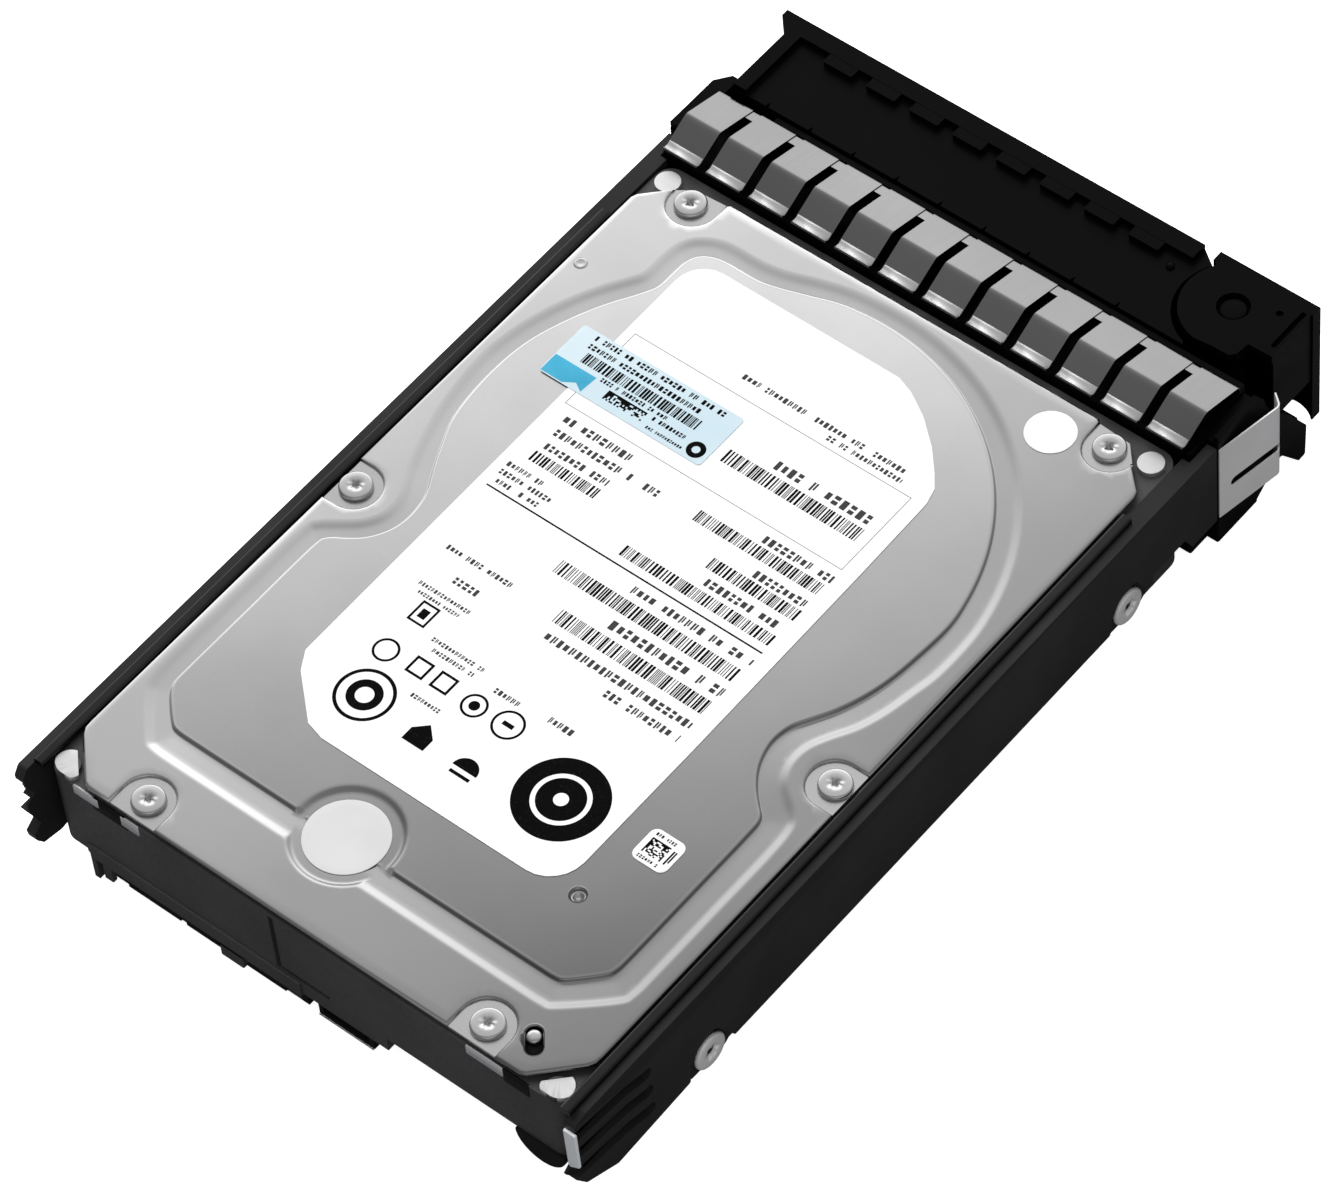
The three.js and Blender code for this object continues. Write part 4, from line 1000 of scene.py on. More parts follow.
label_shape = rounded(
    [
        (26.35, 27.8, 6.2), (26.35, 60, 0), (26.0, 100, 0), (25.7, 116.2, 0),
        (24.9, 119.2, 0), (23.0, 121.6, 0), (19.6, 125.3, 0), (14.8, 129.3, 0), (10.4, 131.9, 0),
        (7.0, 133.1, 0), (-33.3, 133.2, 5.2), (-32.6, 38.8, 0), (-30.6, 35.4, 0), (-23.2, 28.7, 0),
        (-19.8, 27.8, 0),
    ]
)
thin_sheet("main_label_sheet", label_shape, LABEL_Z, 0.12, PAPER, "main_label")

marks = Print(LABEL_Z + 0.125, 7)
small = Print(LABEL_Z + 0.125, 9)
marks.block(-31, 23.4, 79.1, 79.4)
for x0, x1, y0, y1 in [
    (-5, 21.5, 104, 106.7), (-1.2, 23.3, 92.6, 94.9), (6.2, 23.3, 86.7, 89),
    (-29, -16, 86.7, 88.8), (-6, 23.3, 80.8, 83), (-12, 23.3, 72.3, 75), (-6, 23.3, 65, 67.8),
]:
    marks.barcode(x0, x1, y0, y1)
for x0, x1, y0, y1 in [
    (-12.5, 20, 118.5, 119.6), (5.5, 20, 116.8, 117.8), (2.5, 21.5, 107.6, 109.4),
    (-29.5, -16, 95.4, 96.9), (10, 23.3, 95.5, 97), (-29, -8, 92.6, 94), (-28.5, -16, 89.7, 91),
    (13, 23.3, 89.5, 91), (8, 23.3, 83.9, 85.4), (-31, -24, 83.8, 84.8), (-31, -21, 82, 83),
    (-31, -22, 80.2, 81.2), (0, 23.3, 76.2, 77.7), (1.5, 23.3, 69, 70.8), (-28, -15, 66, 67),
    (-5, 23.3, 61.7, 63.2), (-23, -17.5, 61.6, 62.9), (8, 23.3, 58.8, 60.2),
    (-27, -17, 58.4, 59.2), (-26, -18, 57, 57.7), (-19, -8, 51.4, 52.2), (-17, -9, 49.8, 50.6),
    (-4.6, 0.2, 49.6, 50.6), (-14.2, -8.4, 41.6, 42.4), (5.5, 10.5, 50.2, 51.4),
]:
    small.line(x0, x1, y0, y1)
small.object("main_label_small_print", INK_SOFT)
marks.ring(16.3, 40.6, 7.6, 4.7, 72, 60)
marks.ring(16.3, 40.6, 3.9, 1.2, 56, 32)
marks.ring(-19.8, 37.7, 4.9, 4.3, 60, 60)
marks.ring(-19.8, 37.7, 2.9, 1.5, 40, 32)
for cx, cy, r in [(-22.7, 46, 2.2), (1.2, 46.3, 2.7), (-5.2, 46, 2.2)]:
    marks.ring(cx, cy, r, r - 0.42)
marks.shape(disc(-5.2, 46, 0.9, 24))
marks.block(0.2, 2.2, 45.9, 46.7)
for cx in (-16.4, -11.6):
    marks.frame(cx - 1.7, cx + 1.7, 44.8, 48.2, 0.45)
marks.frame(-24.2, -20.8, 52.4, 56.6, 0.4)
marks.block(-23.2, -21.8, 53.6, 55.4)
marks.shape([(-10.2, 35), (-6, 35), (-6, 37.4), (-8.1, 39.4), (-10.2, 37.4)])
marks.shape(arc(1.3, 36, 2.3, 0, 180, 20))
marks.block(-0.6, 3.2, 34.6, 35.2)
marks.object("main_label_print", INK)

faint = Print(LABEL_Z + 0.125, 8)
faint.frame(-31.5, 23.2, 98.6, 115.7, 0.12)
faint.object("main_label_frame", INK_GREY)

sticker = rect(-39, -6.8, 101.2, 112.4, 0.7)
thin_sheet("service_sticker_film", sticker, STICKER_Z, 0.1, STICKER, "service_sticker")
code = Print(STICKER_Z + 0.105, 11)
code.barcode(-34.8, -11.5, 106.2, 108.3)
for x0, x1, y0, y1 in [
    (-36.5, -9.5, 110.8, 111.8), (-36.5, -13, 109, 110), (-29.8, -16.5, 105, 105.8),
    (-18.5, -12, 103.8, 104.6), (-18.3, -10.7, 102, 102.6),
]:
    code.line(x0, x1, y0, y1)
code.matrix(-27.4, 102.6, 0.32, 24, 6)
code.ring(-9.2, 103.4, 1.6, 0.7, 32, 24)
code.object("service_sticker_print", INK)
tape = [(-38.8, 101.4), (-34.5, 101.4), (-32.6, 102.6), (-30.9, 101.6), (-30.6, 105.2)]
tape.append((-38.8, 105.2))
thin_sheet("service_sticker_tape", tape, STICKER_Z + 0.105, 0.02, TAPE_BLUE)

code_sticker = rect(30.6, 37, 39, 45.3, 1.3)
thin_sheet("code_sticker_sheet", code_sticker, LABEL_Z, 0.1, PAPER, "code_sticker")
block = Print(LABEL_Z + 0.105, 5)
block.matrix(31.6, 40.6, 0.27, 13, 11)
for dashes in [(31.6, 35.4, 44.1, 44.7), (31.6, 35.8, 39.5, 40.1), (35.7, 36.4, 40.6, 43.4)]:
    block.line(*dashes)
block.object("code_sticker_print", INK)
round_sticker = disc(32.4, 138.4, 4.15, 56)
thin_sheet("round_sticker_sheet", round_sticker, LABEL_Z, 0.1, PAPER, "round_sticker")


def breather_seal():
    """A foil disc, lightly dished by the bowl beneath it."""
    (x0, _, _), (x1, _, z) = span("breather_seal")
    r = (x1 - x0) / 2
    profile = [(r, z - 0.1), (r, z), (r - 0.08, z + 0.03)]
    profile += [(r * k, z + 0.03 - 0.05 * (1 - k)) for k in (0.8, 0.6, 0.4, 0.2)]
    foil = turned(*middle("breather_seal"), [*profile, (0, z - 0.02)], 72)
    name = "breather_seal_foil"
    even_normals(piece(name, [foil], FOIL, "bright_steel", replaces="breather_seal"))


breather_seal()

# ---- drive casting: corner pads and the details of its rear edge ---------------------------

CORNER_X, CORNER_Y, CORNER_R = 50.55, 73.25, 2.75
CLEAR_X, CLEAR_Y = 0.718, 0.696


def clipped_disc(cx, cy, r, sx, sy):
    """A disc's outline held inside the casting's rounded corner and clear of the cover's edge."""
    out = []
    for x, y in disc(cx, cy, r):
        dx, dy = sx * x - (CORNER_X - CORNER_R), sy * (y - 73.5) - (CORNER_Y - CORNER_R)
        if dx > 0 and dy > 0 and math.hypot(dx, dy) > CORNER_R:
            k = CORNER_R / math.hypot(dx, dy)
            dx, dy = dx * k, dy * k
        dx, dy = min(dx, CORNER_R), min(dy, CORNER_R)
        x, y = dx + CORNER_X - CORNER_R, 73.5 + sy * (dy + CORNER_Y - CORNER_R)
        if sy < 0:
            gap = max(0.9 - ((x - 43.2) * CLEAR_X - (y - 0.6) * CLEAR_Y), 0)
            x, y = x + CLEAR_X * gap, y - CLEAR_Y * gap
        out.append((sx * x, y))
    return out


def plates(rects, r, y0, y1):
    """Thin plates on the rear face, from rows of x0, x1, z0, z1."""
    return [prism(rect(*sides, r), y0, y1, "y") for sides in rects]


def casting_details():
    pads = []
    for sx in (-1, 1):
        pads.append(clipped_disc(sx * 47.7, 2.2, 2.6, sx, -1))
        pads.append(clipped_disc(sx * 47.8, 143.4, 2.15, sx, 1))
    pads = [prism(pad, BASE_TOP - 1.9, BASE_TOP + 0.03) for pad in pads]
    piece("casting_corner_pads", pads, PAD_AND_HIGHLIGHT_METAL, "aluminium", soft=(0.2, 3))
    ledge = [(-45, 7, 0.3), (-43.5, 5.6, 0.3), (-2, 5.6), (-2, 9.0, 0.3), (-45, 9.0, 0.3)]
    details = [
        prism(rounded(ledge), -0.35, 0.7, "y"),
        prism(rect(-42.4, -40.6, 2, 5.6, 0.2), -0.3, 0.7, "y"),
        prism(rect(-18.6, -14, 2.4, 6.4, 0.3), -0.3, 1.6, "y"),
    ]
    build("casting_rear_details", details, CASTING, "black_casting", width=0.2)
    # Dark plates in the two pockets high on the rear face: painted shade.
    pockets = plates([(-41.6, -34.6, 20.6, 23.6), (39, 44, 20.5, 23.6)], 0.3, -0.04, 0.3)
    piece("casting_rear_pocket_shade", pockets, CHIP_AND_SHADE, "chip_black")
    patches = [(-45.3, -40.3, 21.6, 23.6), (-35.7, -32.1, 21.3, 23.6), (32, 39, 21.5, 23.6)]
    piece("casting_rear_patches", plates(patches, 0.2, -0.1, 0.3), PAD_AND_HIGHLIGHT_METAL, "aluminium")
    guide = prism(arc(44.9, 9.6, 4.8, 180, 360, 24), -0.5, 6.0, "y")
    build("casting_rear_guide", [guide], CHIP_AND_SHADE, "chip_black")


casting_details()

# ---- interface connector and service header ------------------------------------------------


def connectors():
    shell = [box(-40.5, -4, 1.6, 8.2, 0.9, 5.2)]
    shell += [box(x, x + w, 1.4, 8.2, 0.9, 5.4) for x, w in ((-42.3, 1.9), (-4.1, 1.5))]
    build(
        "interface_connector_shell", shell, CHIP_AND_SHADE, "chip_black",
        cut=[box(-39.3, -5.2, 1.0, 6.0, 1.7, 4.3)], replaces="interface_connector", width=0.2,
    )
    tongue = [box(x0, x1, 0.6, 7.0, 2.2, 3.3) for x0, x1 in ((-38.2, -27.6), (-26.4, -6.4))]
    piece("interface_connector_tongue", tongue, CHIP_AND_SHADE, "chip_black")
    places = [*np.arange(-37.6, -28.4, 1.27), *np.arange(-25.8, -7.2, 1.27)]
    contacts = [box(x, x + 0.55, 0.75, 6.4, 3.3, 3.36) for x in places]
    piece("interface_connector_contacts", contacts, GOLD, "copper")
    build(
        "service_header_shell", [box(-0.5, 10.5, 1.2, 8.2, 0.9, 5.2)], CHIP_AND_SHADE, "chip_black",
        cut=[box(0.5, 9.5, 0.6, 6.5, 1.7, 4.4)], replaces="service_header", width=0.2,
    )
    # Thin pale strips along the shells' edges: painted edge highlights.
    edge_highlight = [box(-40.4, -4.1, 1.45, 1.58, 0.9, 1.06)]
    edge_highlight += [box(-0.4, 10.4, 1.05, 1.18, z, z + 0.16) for z in (0.9, 5.0)]
    piece("connector_edge_highlight", edge_highlight, PAINTED_EDGE_HIGHLIGHT, "chip_black")
    v, faces = turned(0, 0, [(0.28, 0), (0.28, 6.0), (0.12, 6.3)], 12)
    faces = [f[::-1] for f in faces]
    pins = [([(1.9 + 2 * i + x, 8 - z, 3.0 + y) for x, y, z in v], faces) for i in range(4)]
    piece("service_header_pins", pins, SCREW_STEEL, "bright_steel")


connectors()

# ---- carrier rails -------------------------------------------------------------------------

RIGHT_TIP = [
    (1.2, RAIL_TOP, 0.8), (-1.3, RAIL_TOP - 1.2, 0.5), (-1.3, 12.6), (-2.8, 11.0, 0.3),
    (-0.3, 7.3, 0.8), (6, 5.2, 0.8),
]
LEFT_TIP = [
    (-2.4, RAIL_TOP, 0.8), (-3.5, 22.6, 0.4), (-3.4, 20.4), (-1.8, 17.8), (-3.8, 16.4),
    (-3.8, 14.4), (-2, 10), (-3.85, 8.6), (-3.6, 7), (-2.4, 5.2), (1.5, 4.4), (6, 5.3),
]
NOTCH = [
    (-5.9, 6.1, 0.4), (-5.3, 9.5, 0.8), (-3.4, 12.4, 2.2), (0.7, 12.9, 1.6), (2.1, 10.4, 0.8),
    (4.5, 6.3, 0.6),
]
FRONT_END = [
    (135.2, 9.8, 0.4), (143.4, 9.8, 0.6), (145.2, 6.4, 0.5), (151.5, 6.4, 0.3),
    (151.5, RAIL_TOP),
]
GROOVE_Z = (11.3, 15.9, 20.4)
SPLAY, SPLAY_END = 0.1, 5.5


def rail_profile(tip):
    """The rail's side view (y, z): its tip, notches over the screws, and a stepped front."""
    notches = [(y + dy, z, r) for y in SIDE_SCREW_Y for dy, z, r in NOTCH]
    return rounded([*tip, *notches, *FRONT_END], 4)


def groove(z, r):
    """A grip groove, level at the nose and dropping a little towards its round end."""
    lower = [(-6, z - r), (8.5, z - r), (13.4, z - 1.3 - r)]
    return [*lower, *arc(13.7, z - 1.35, r, -80, 100, 8), (8.9, z + r), (-6, z + r)]


def sided(side, solids):
    return solids if side > 0 else mirror_x(solids)


def rail(side, name):
    """Wall, top ledge and screw pads, with three long grooves at the nose."""
    add = [
        prism(rail_profile(RIGHT_TIP if side > 0 else LEFT_TIP), WEB, OUTER, "x"),
        box(INNER, WEB + 0.1, 2, 147.0, RAIL_TOP - 1.8, RAIL_TOP),
    ]
    for y in SIDE_SCREW_Y:
        pad = [(y - 5.5, 2.8, 2.4), (y + 5.5, 2.8, 2.4), (y + 5.5, 14), (y - 5.5, 14)]
        add.append(prism(rounded(pad), INNER, WEB + 0.05, "x"))
    cut = [prism(groove(z, 1.2), OUTER - 1.4, OUTER + 1, "x") for z in GROOVE_Z]
    cut += [
        prism(disc(y, SIDE_SCREW_Z, 1.8, 24), INNER - 1, WEB + 1, "x") for y in SIDE_SCREW_Y
    ]
    obj = build(
        f"{name}_rail_body", sided(side, add), PLASTIC_SIDE, "grey_plastic",
        cut=sided(side, cut), replaces=f"{name}_rail", width=0,
    )
    nose = REAR + SPLAY_END * MM
    for v in obj.data.vertices:
        if side > 0 and v.co.y < nose:
            v.co.x -= SPLAY * (nose - v.co.y)
    obj.modifiers.clear()
    soften(obj, 0.3, 3, 35)
    # Thin black plates on the groove floors, darker than the rail: painted shade.
    groove_shade = [prism(groove(z, 1.1), OUTER - 1.5, OUTER - 1.3, "x") for z in GROOVE_Z]
    groove_shade = [([(x, max(y, 0.2), z) for x, y, z in v], f) for v, f in groove_shade]
    piece(f"{name}_rail_groove_shade", sided(side, groove_shade), PLASTIC_AND_SHADE, "grey_plastic")


def light_pipe(side, name):
    """A clear strip laid along the rail's top."""
    (x0, _, z0), (x1, y1, z1) = span("light_pipe_right")
    section = rounded([(x0, z0), (x1, z0), (x1, z1, 0.5), (x0, z1, 0.5)])
    piece(
        f"{name}_light_pipe_bar", sided(side, [prism(section, -0.7, y1, "y")]), GUIDE,
        "clear_plastic", replaces=f"light_pipe_{name}", soft=(0.15, 2, 50),
    )


def rail_screws(side, name):
    for end, y in zip(("rear", "front"), SIDE_SCREW_Y):

        def laid(solid):
            v, faces = solid
            out = WEB + 0.06
            turned_out = [(side * (out + c), y + a, SIDE_SCREW_Z + b * side) for a, b, c in v]
            return [(turned_out, faces)]

        head = laid(screw_head(0, 0, 0, 3.3, 1.0, 1.5))
        node = f"rail_screw_{name}_{end}"
        head_name = f"rail_screw_head_{name}_{end}"
        even_normals(piece(head_name, head, CONTACT_STEEL, "bright_steel", replaces=node))
        # A black disc on the socket's floor: painted shade in the recess.
        socket = laid(turned(0, 0, [(1.25, 0.2), (1.25, 0.3), (0, 0.3)], 32))
        piece(f"rail_screw_socket_{name}_{end}", socket, PLASTIC_AND_SHADE, "bright_steel")


# The right strip turns down over the rail's nose into a bright end plate.
PIPE_END = prism([(51.75, 11.5), (53.9, 12.9), (53.85, 21.4), (51.6, 21.4)], -1.75, -1.2, "y")
piece("right_light_pipe_end", [PIPE_END], CLEAR_END, "clear_plastic", soft=(0.2, 3))
for side, name in ((1, "right"), (-1, "left")):
    rail(side, name)
    light_pipe(side, name)
    rail_screws(side, name)

# ---- front frame and contact strips --------------------------------------------------------


def front_frame():
    """A hollow black crossbar with an open grid, a cheek at the right and the lever's lug."""
    rear, step, front, neck = 147.4, 151.7, 162.2, 52.1
    hook = span("front_frame")[0][2]
    low, top = hook + 1.0, FRAME_TOP
    plan = [
        (-neck, rear, 0.3), (neck, rear, 0.3), (neck, step), (OUTER, step, 0.3),
        (OUTER, front, 0.5), (-OUTER, front, 0.5), (-OUTER, step, 0.3), (-neck, step),
    ]
    cheek = [
        (front - 1, low), (168, 5.9, 1), (172.8, hook, 0.4), (174.5, hook, 0.4),
        (174.8, 6.6, 1), (170.4, 13.4, 2), (165, 20, 1), (163.4, 24.6, 0.5), (front - 1, 24.6),
    ]
    ear = [
        (-50, front - 1), (-43.8, front - 1), *arc(LEVER_PIN_X, LEVER_PIN_Y, 2.2, 0, 180, 16),
        (-48.2, 169.6), (-50, 168.2),
    ]
    shoulder = [
        (-OUTER, 152), (-50.9, 152), (-50.9, 165.4), (-52.2, 165.4), (-OUTER, 162.8),
    ]
    add = [
        prism(rounded(plan, 3), low, top),
        prism(rounded(cheek, 4), 52.6, OUTER, "x"),
        prism(ear, 9.3, 18.7),
        box(50.7, 51.5, 148.6, front - 0.4, top - 0.3, top + 0.8),
        box(53.2, OUTER, 152, front - 0.4, top - 0.3, top + 0.8),
        box(-41, 51, front - 0.3, 162.9, 24, 26.25),
        prism(shoulder, 20, 26.55),
    ]
    cut = [box(-50, 50, rear + 2, front - 2, low - 1, top - 1.6)]
    for x in range(-44, 37, 16):
        cut.append(prism(rect(x, x + 8, 6, 18, 0.8), rear - 1, front + 1, "y"))
    cut.append(prism(disc(LEVER_PIN_X, LEVER_PIN_Y, 1.27, 24), 0, 30))
    build(
        "front_frame_body", add, PLASTIC_AND_SHADE, "black_plastic", cut=cut, replaces="front_frame",
        width=0.25,
    )


def contact_strip():
    """Spring-steel fingers: a curled rear lip, a crisp ridge and a long front fall."""
    rise = [(147.05, 1.62), (147.45, 1.4), (148.0, 1.42), (148.7, 1.78), (149.6, 2.26)]
    rise += [(151.6, 3.32), (152.7, 3.88), (153.15, 4.02), (153.6, 3.96), (154.4, 3.74)]
    fall = [(157.4, 2.93), (159.2, 2.42), (160.2, 2.14), (161.0, 1.9), (161.45, 1.68)]
    fall.append((161.6, 1.2))
    rise, fall = ([(y, FRAME_TOP + z) for y, z in line] for line in (rise, fall))
    section = spline([*rise, *fall, (161.6, FRAME_TOP + 0.1)], 3, closed=False)
    section += beside(section, -0.32)[::-1]
    # A thin band of brighter metal over each finger's curled rear lip: a painted highlight.
    lip = band(spline(rise[:4], 2, closed=False), 0.03, -0.06)
    lip_highlights = [prism(lip, x + 0.1, x + FINGER_WIDTH - 0.1, "x") for x in FINGER_X]
    piece("contact_strip_lip_highlights", lip_highlights, PAD_AND_HIGHLIGHT_METAL, "bright_steel")
    apron = beside(spline(fall[1:], 3, closed=False), -0.2)
    solids = [prism(section, x, x + FINGER_WIDTH, "x") for x in FINGER_X]
    under = apron + beside(apron, -0.2)[::-1]
    solids.append(prism(under, FINGER_START + 0.5, -FINGER_START - 2.2, "x"))
    piece(
        "contact_strip_fingers", solids, STRIP_STEEL, "bright_steel", replaces="contact_strip",
        soft=(0.06, 2, 50),
    )
    low, high = FRAME_TOP + 0.05, FRAME_TOP + 0.35
    bed = [(147.2, low), (161.2, low), (161.2, high), (147.2, high)]
    bed = prism(bed, FINGER_START, -FINGER_START - 1, "x")
    piece("contact_strip_bed", [bed], PLASTIC_AND_SHADE, "black_plastic")


def side_contact():
    """The bent spring plate on the right cheek, with its long slot."""
    low, high = ((v / MM).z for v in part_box("side_contact"))
    line = [(151.95, 54.4), (158, 55.46), (163.4, 56.4), (164.2, 56.5), (164.75, 56.36)]
    smooth = spline([*line, (165.3, 55.8), (166.35, 54.5)], 3, closed=False)
    section = [(x, y) for y, x in smooth + beside(smooth, -0.28)[::-1]]
    obj = mesh_object("side_contact_plate", [prism(section, low, high)])
    slot = capsule((155.25, 13.4), (163.9, 13.4), 0.95)
    carve(obj, [prism(slot, 50, 60, "x")], "DIFFERENCE")
    tidy(obj, 0.3)
    soften(obj, 0.06, 2, 50)
    place(obj, CONTACT_STEEL, "bright_steel", replaces="side_contact")


front_frame()
contact_strip()
side_contact()

# ---- ejector lever and release button ------------------------------------------------------

LEFT, LEVER_REAR, LEVER_FRONT = -50.3, 163.3, 180.6
HOLLOW_R, BUTTON_R = 9.7, 8.7


def lever_plan():
    """Seen from above: straight on three sides, hollowed round the button at the right."""

    def angle_at(y):
        return math.degrees(math.atan2(y, -math.sqrt(HOLLOW_R**2 - y**2)))

    rear = angle_at(LEVER_REAR + 0.6 - PIN_Y) + 360
    curve = arc(PIN_X, PIN_Y, HOLLOW_R, rear, angle_at(5.4), 18)
    start = [(LEFT, LEVER_REAR), (curve[0][0] + 0.4, LEVER_REAR)]
    return [*start, *curve, (30.4, LEVER_FRONT), (LEFT, LEVER_FRONT)]


def ejector_lever():
    """A channel-shaped bar: roof with a raised border, vented front wall, and a pin boss."""
    low, top, roof = LEVER_LOW, LEVER_TOP, LEVER_TOP - 1.15
    rear, front = LEVER_REAR, LEVER_FRONT
    rim = [(LEFT, rear), (LEFT + 2.6, rear), (LEFT + 2.6, 176, 0.6), (LEFT + 2.6, front)]
    flange = [(-53.1, front), (-53.1, front - 1.4), (LEFT, front - 4.2), (LEFT + 1, front)]
    add = [
        prism(lever_plan(), roof - 1.4, roof),
        box(LEFT, 30.4, 177.3, front, roof - 0.1, top),
        prism(rounded([*rim, (LEFT, front)]), roof - 0.1, top),
        box(LEFT, 30.4, 178.4, front, low, top),
        prism(flange, low, top),
        box(LEFT, LEFT + 1.5, rear, front, low, roof),
        prism(rect(LEFT, 50, rear, 178.2), low, low + 1.2),
        box(LEFT, 30.4, 177.8, front, low, low + 1.2),
        box(30, 34, 177.05, 178.55, low, 25.4),
        prism(disc(LEVER_PIN_X, LEVER_PIN_Y, 3.1, 32), 19.2, 26),
    ]
    gaps = [x + FINGER_WIDTH for x in FINGER_X[:9]]
    for x in gaps[:8]:
        pad = [(x + 3.0, 177.4), (x + 3.0, 175.3, 0.3), (x + 8.8, 175.3, 0.3), (x + 8.8, 177.4)]
        add.append(prism(rounded(pad, 3), roof - 0.1, top - 0.05))
    cut = [
        prism(disc(LEVER_PIN_X, LEVER_PIN_Y, 1.28, 24), low - 1, 26.1),
        prism(disc(PIN_X, PIN_Y, 1.65, 24), low - 1, low + 3),
        box(LEFT - 1, LEFT + 3, rear - 1, front - 3.4, low + 1.2, 19.1),
    ]
    for x in gaps:
        nick = [(x + 0.5, rear - 1), (x + 1.7, rear - 1), (x + 1.1, rear + 1.1)]
        cut.append(prism(nick, roof - 1.5, top + 1))
    for x in (-44.9 + FINGER_PITCH * i for i in range(8)):
        for z in (6.5, 13, 19.5):
            cut.append(prism(rect(x, x + 5.4, z - 1.6, z + 1.6, 0.7), 178, 182, "y"))
    build(
        "ejector_lever_body", add, PLASTIC_AND_SHADE, "black_plastic", cut=cut, body="lever",
        replaces="ejector_lever", width=0.28,
    )
    stud = [(0.75, roof - 0.1), (0.7, roof + 0.3), (0.4, roof + 0.5), (0, roof + 0.55)]
    stud = turned(28.1, 174.6, stud, 24)
    piece("ejector_lever_stud", [stud], PLASTIC_AND_SHADE, "black_plastic", "lever")


def button_plan():
    start = 180 - math.degrees(math.asin(5 / BUTTON_R))
    round_side = arc(PIN_X, PIN_Y, BUTTON_R, start, 262, 20)
    hook = [(43.0, 164.9), (46.5, 165.0), (47.3, 165.9), (47.6, 168.5), (52, 168.6)]
    return [(33.2, 180.9), (33.2, 179.3), *round_side, *hook, (52, 180.9)]


def release_button():
    """A round-ended key with an arched front face and a ring round its pin."""
    low, top = span("release_button")[0][2], LEVER_TOP
    foot = [(33.2, low), (46.8, low), *arc(49.4, low - 0.2, 2.6, 175, 5, 16), (52.3, low)]
    add = [
        prism(button_plan(), top - 1.9, top),
        prism([*foot, (52.3, top), (33.2, top)], 178.9, 180.9, "y"),
        prism(disc(PIN_X, PIN_Y, 4.2, 40), low, top - 1.8),
        prism(rounded([(169, 26.2), (169, 12, 1), (179, 12), (179, 26.2)]), 50.6, 52, "x"),
        box(PIN_X, 51, PIN_Y - 0.9, PIN_Y + 0.9, 10, top - 1.8),
        prism([disc(PIN_X, PIN_Y, r, 40) for r in (3.25, 2.7)], top - 0.5, top),
    ]
    cut = [
        prism(disc(PIN_X, PIN_Y, 1.66, 32), 0, 30),
        prism(disc(PIN_X, PIN_Y, 2.72, 40), top - 1.3, top + 1),
        prism(rect(50.5, 51.4, 170.2, 178.6, 0.3), top - 0.9, top + 1),
    ]
    build(
        "release_button_body", add, PLASTIC_AND_SHADE, "black_plastic", cut=cut, body="button",
        replaces="release_button",
    )
    stud = turned(47.9, 176.2, [(0.7, top - 0.1), (0.6, top), (0, top)], 20)
    piece("release_button_stud", [stud], PLASTIC_AND_SHADE, "black_plastic", "button")


def button_pin():
    (_, _, low), (_, _, top) = span("button_pin")
    profile = [(1.6, low), (1.6, top - 0.65), (2.3, top - 0.65), (2.3, top - 0.25)]
    pin = turned(PIN_X, PIN_Y, [*profile, (2.1, top - 0.04), (1.8, top), (0, top)], 40)
    name, body = "button_pin_head", "lever"
    even_normals(piece(name, [pin], PLASTIC_AND_SHADE, "black_plastic", body, replaces="button_pin"))


ejector_lever()
release_button()
button_pin()

# ---- studio --------------------------------------------------------------------------------

CAMERA_AZIMUTH, CAMERA_ELEVATION, CAMERA_ROLL = 44.58, 52.74, -6.49
CAMERA_DISTANCE, CAMERA_LENS = 1.0408, 184.07
SHIFT_RIGHT, SHIFT_UP = 6.68, 8.16

# Reflected sky: (azimuth, elevation, tightness, level) for each soft lobe, and a base level.
LOBES = [
    (215, 40, 3.0, 0.26),
    (209, 22, 16.0, 1.9),
    (243, 22, 16.0, 1.6),
    (176, 64, 10.0, 0.3),
    (275, 66, 10.0, 0.35),
    (150, 30, 5.0, 0.35),
    (45, 15, 5.0, 0.5),
]
AMBIENT = 0.2
FLOOR_GLOW = 0.82
FLOOR_SIZE = 6.0


def direction(azimuth, elevation):
    """The unit vector towards a point on the sky: azimuth 0 is the drive's rear, -Y."""
    a, e = math.radians(azimuth), math.radians(elevation)
    return Vector((math.sin(a) * math.cos(e), -math.cos(a) * math.cos(e), math.sin(e)))


def camera():
    """Looks down on the drive's rear right corner, a little rolled."""
    back = direction(CAMERA_AZIMUTH, CAMERA_ELEVATION)
    right = Vector((0, 0, 1)).cross(back).normalized()
    up = back.cross(right)
    roll = Matrix.Rotation(math.radians(CAMERA_ROLL), 3, back)
    right, up = roll @ right, roll @ up
    cam = bpy.data.cameras.new("camera")
    cam.lens, cam.sensor_width, cam.sensor_fit = CAMERA_LENS, 36.0, "HORIZONTAL"
    cam.clip_start, cam.clip_end = 0.05, 20
    obj = bpy.data.objects.new("camera", cam)
    COLLECTION.objects.link(obj)
    aim = at(0, 73.5, 13) + right * SHIFT_RIGHT * MM + up * SHIFT_UP * MM
    basis = Matrix((right, up, back)).transposed()
    obj.matrix_world = Matrix.Translation(aim + back * CAMERA_DISTANCE) @ basis.to_4x4()
    bpy.context.scene.camera = obj


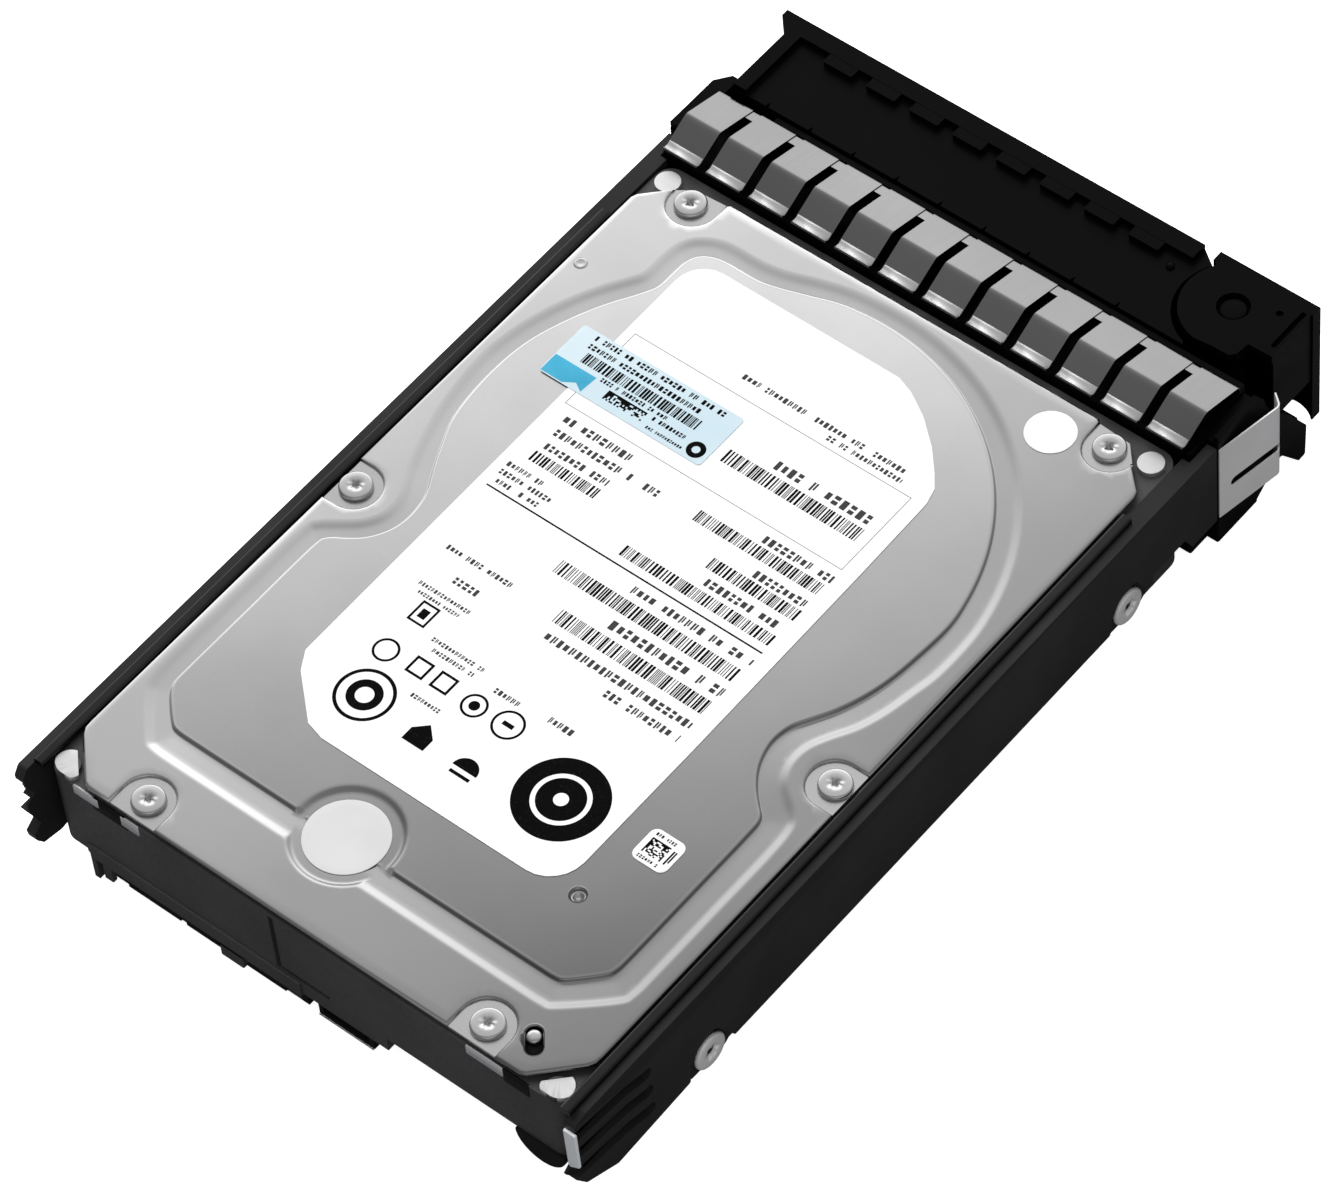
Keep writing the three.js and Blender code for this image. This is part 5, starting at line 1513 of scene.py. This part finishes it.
def sky():
    """White behind the object; for reflections, soft bright lobes over a dim base."""
    world = bpy.data.worlds.new("studio")
    bpy.context.scene.world = world
    n = Nodes(world)
    towards = n.add("ShaderNodeTexCoord").outputs["Generated"]
    total = AMBIENT
    for azimuth, elevation, tightness, level in LOBES:
        dot = n.add("ShaderNodeVectorMath", operation="DOT_PRODUCT")
        n.feed(dot.inputs[0], towards)
        n.feed(dot.inputs[1], direction(azimuth, elevation))
        near = n.math("SUBTRACT", dot.outputs["Value"], 1.0)
        lobe = n.math("EXPONENT", n.math("MULTIPLY", near, tightness))
        total = n.math("ADD", total, n.math("MULTIPLY", lobe, level))
    seen = n.add("ShaderNodeMix")
    rays = n.add("ShaderNodeLightPath").outputs
    for number, value in enumerate((rays["Is Camera Ray"], None, total, 1.0)):
        if value is not None:
            n.feed(seen.inputs[number], value)
    background = n.fill(n.add("ShaderNodeBackground"), Strength=seen.outputs[0])
    n.fill(n.add("ShaderNodeOutputWorld"), Surface=background[0])


def panel(name, azimuth, elevation, distance, size, watts):
    """A soft square lamp aimed at the middle of the drive, which nothing reflects."""
    lamp = bpy.data.lights.new(name, "AREA")
    lamp.shape, lamp.size, lamp.energy = "SQUARE", size, watts
    obj = bpy.data.objects.new(name, lamp)
    COLLECTION.objects.link(obj)
    towards = direction(azimuth, elevation)
    obj.location = at(0, 80, 15) + towards * distance
    obj.rotation_mode = "QUATERNION"
    obj.rotation_quaternion = towards.to_track_quat("Z", "Y")
    obj.visible_glossy = False
    obj.visible_camera = False


def floor():
    """A pale table top that fades to white, with a soft contact shadow."""
    low, s = CAD_BOX[0].z - 0.0004, FLOOR_SIZE
    mesh = bpy.data.meshes.new("floor")
    mesh.from_pydata([(-s, -s, low), (s, -s, low), (s, s, low), (-s, s, low)], [], [(0, 1, 2, 3)])
    obj = bpy.data.objects.new("floor", mesh)
    COLLECTION.objects.link(obj)
    n = Surface("floor_white")
    seen = n.add("ShaderNodeLightPath").outputs["Is Camera Ray"]
    n.set(
        Base_Color=n.mix(seen, (0.16, 0.16, 0.17), (0.9, 0.9, 0.9)),
        Roughness=0.9,
        Specular_IOR_Level=0.0,
        Emission_Color=(1.0, 1.0, 1.0),
        Emission_Strength=n.math("MULTIPLY", seen, FLOOR_GLOW),
    )
    obj.data.materials.append(n.material)


camera()
sky()
panel("key", 250, 62, 1.6, 1.3, 21)
panel("fill", 50, 45, 1.8, 1.4, 9)
floor()
bpy.context.scene.view_settings.view_transform = "Standard"
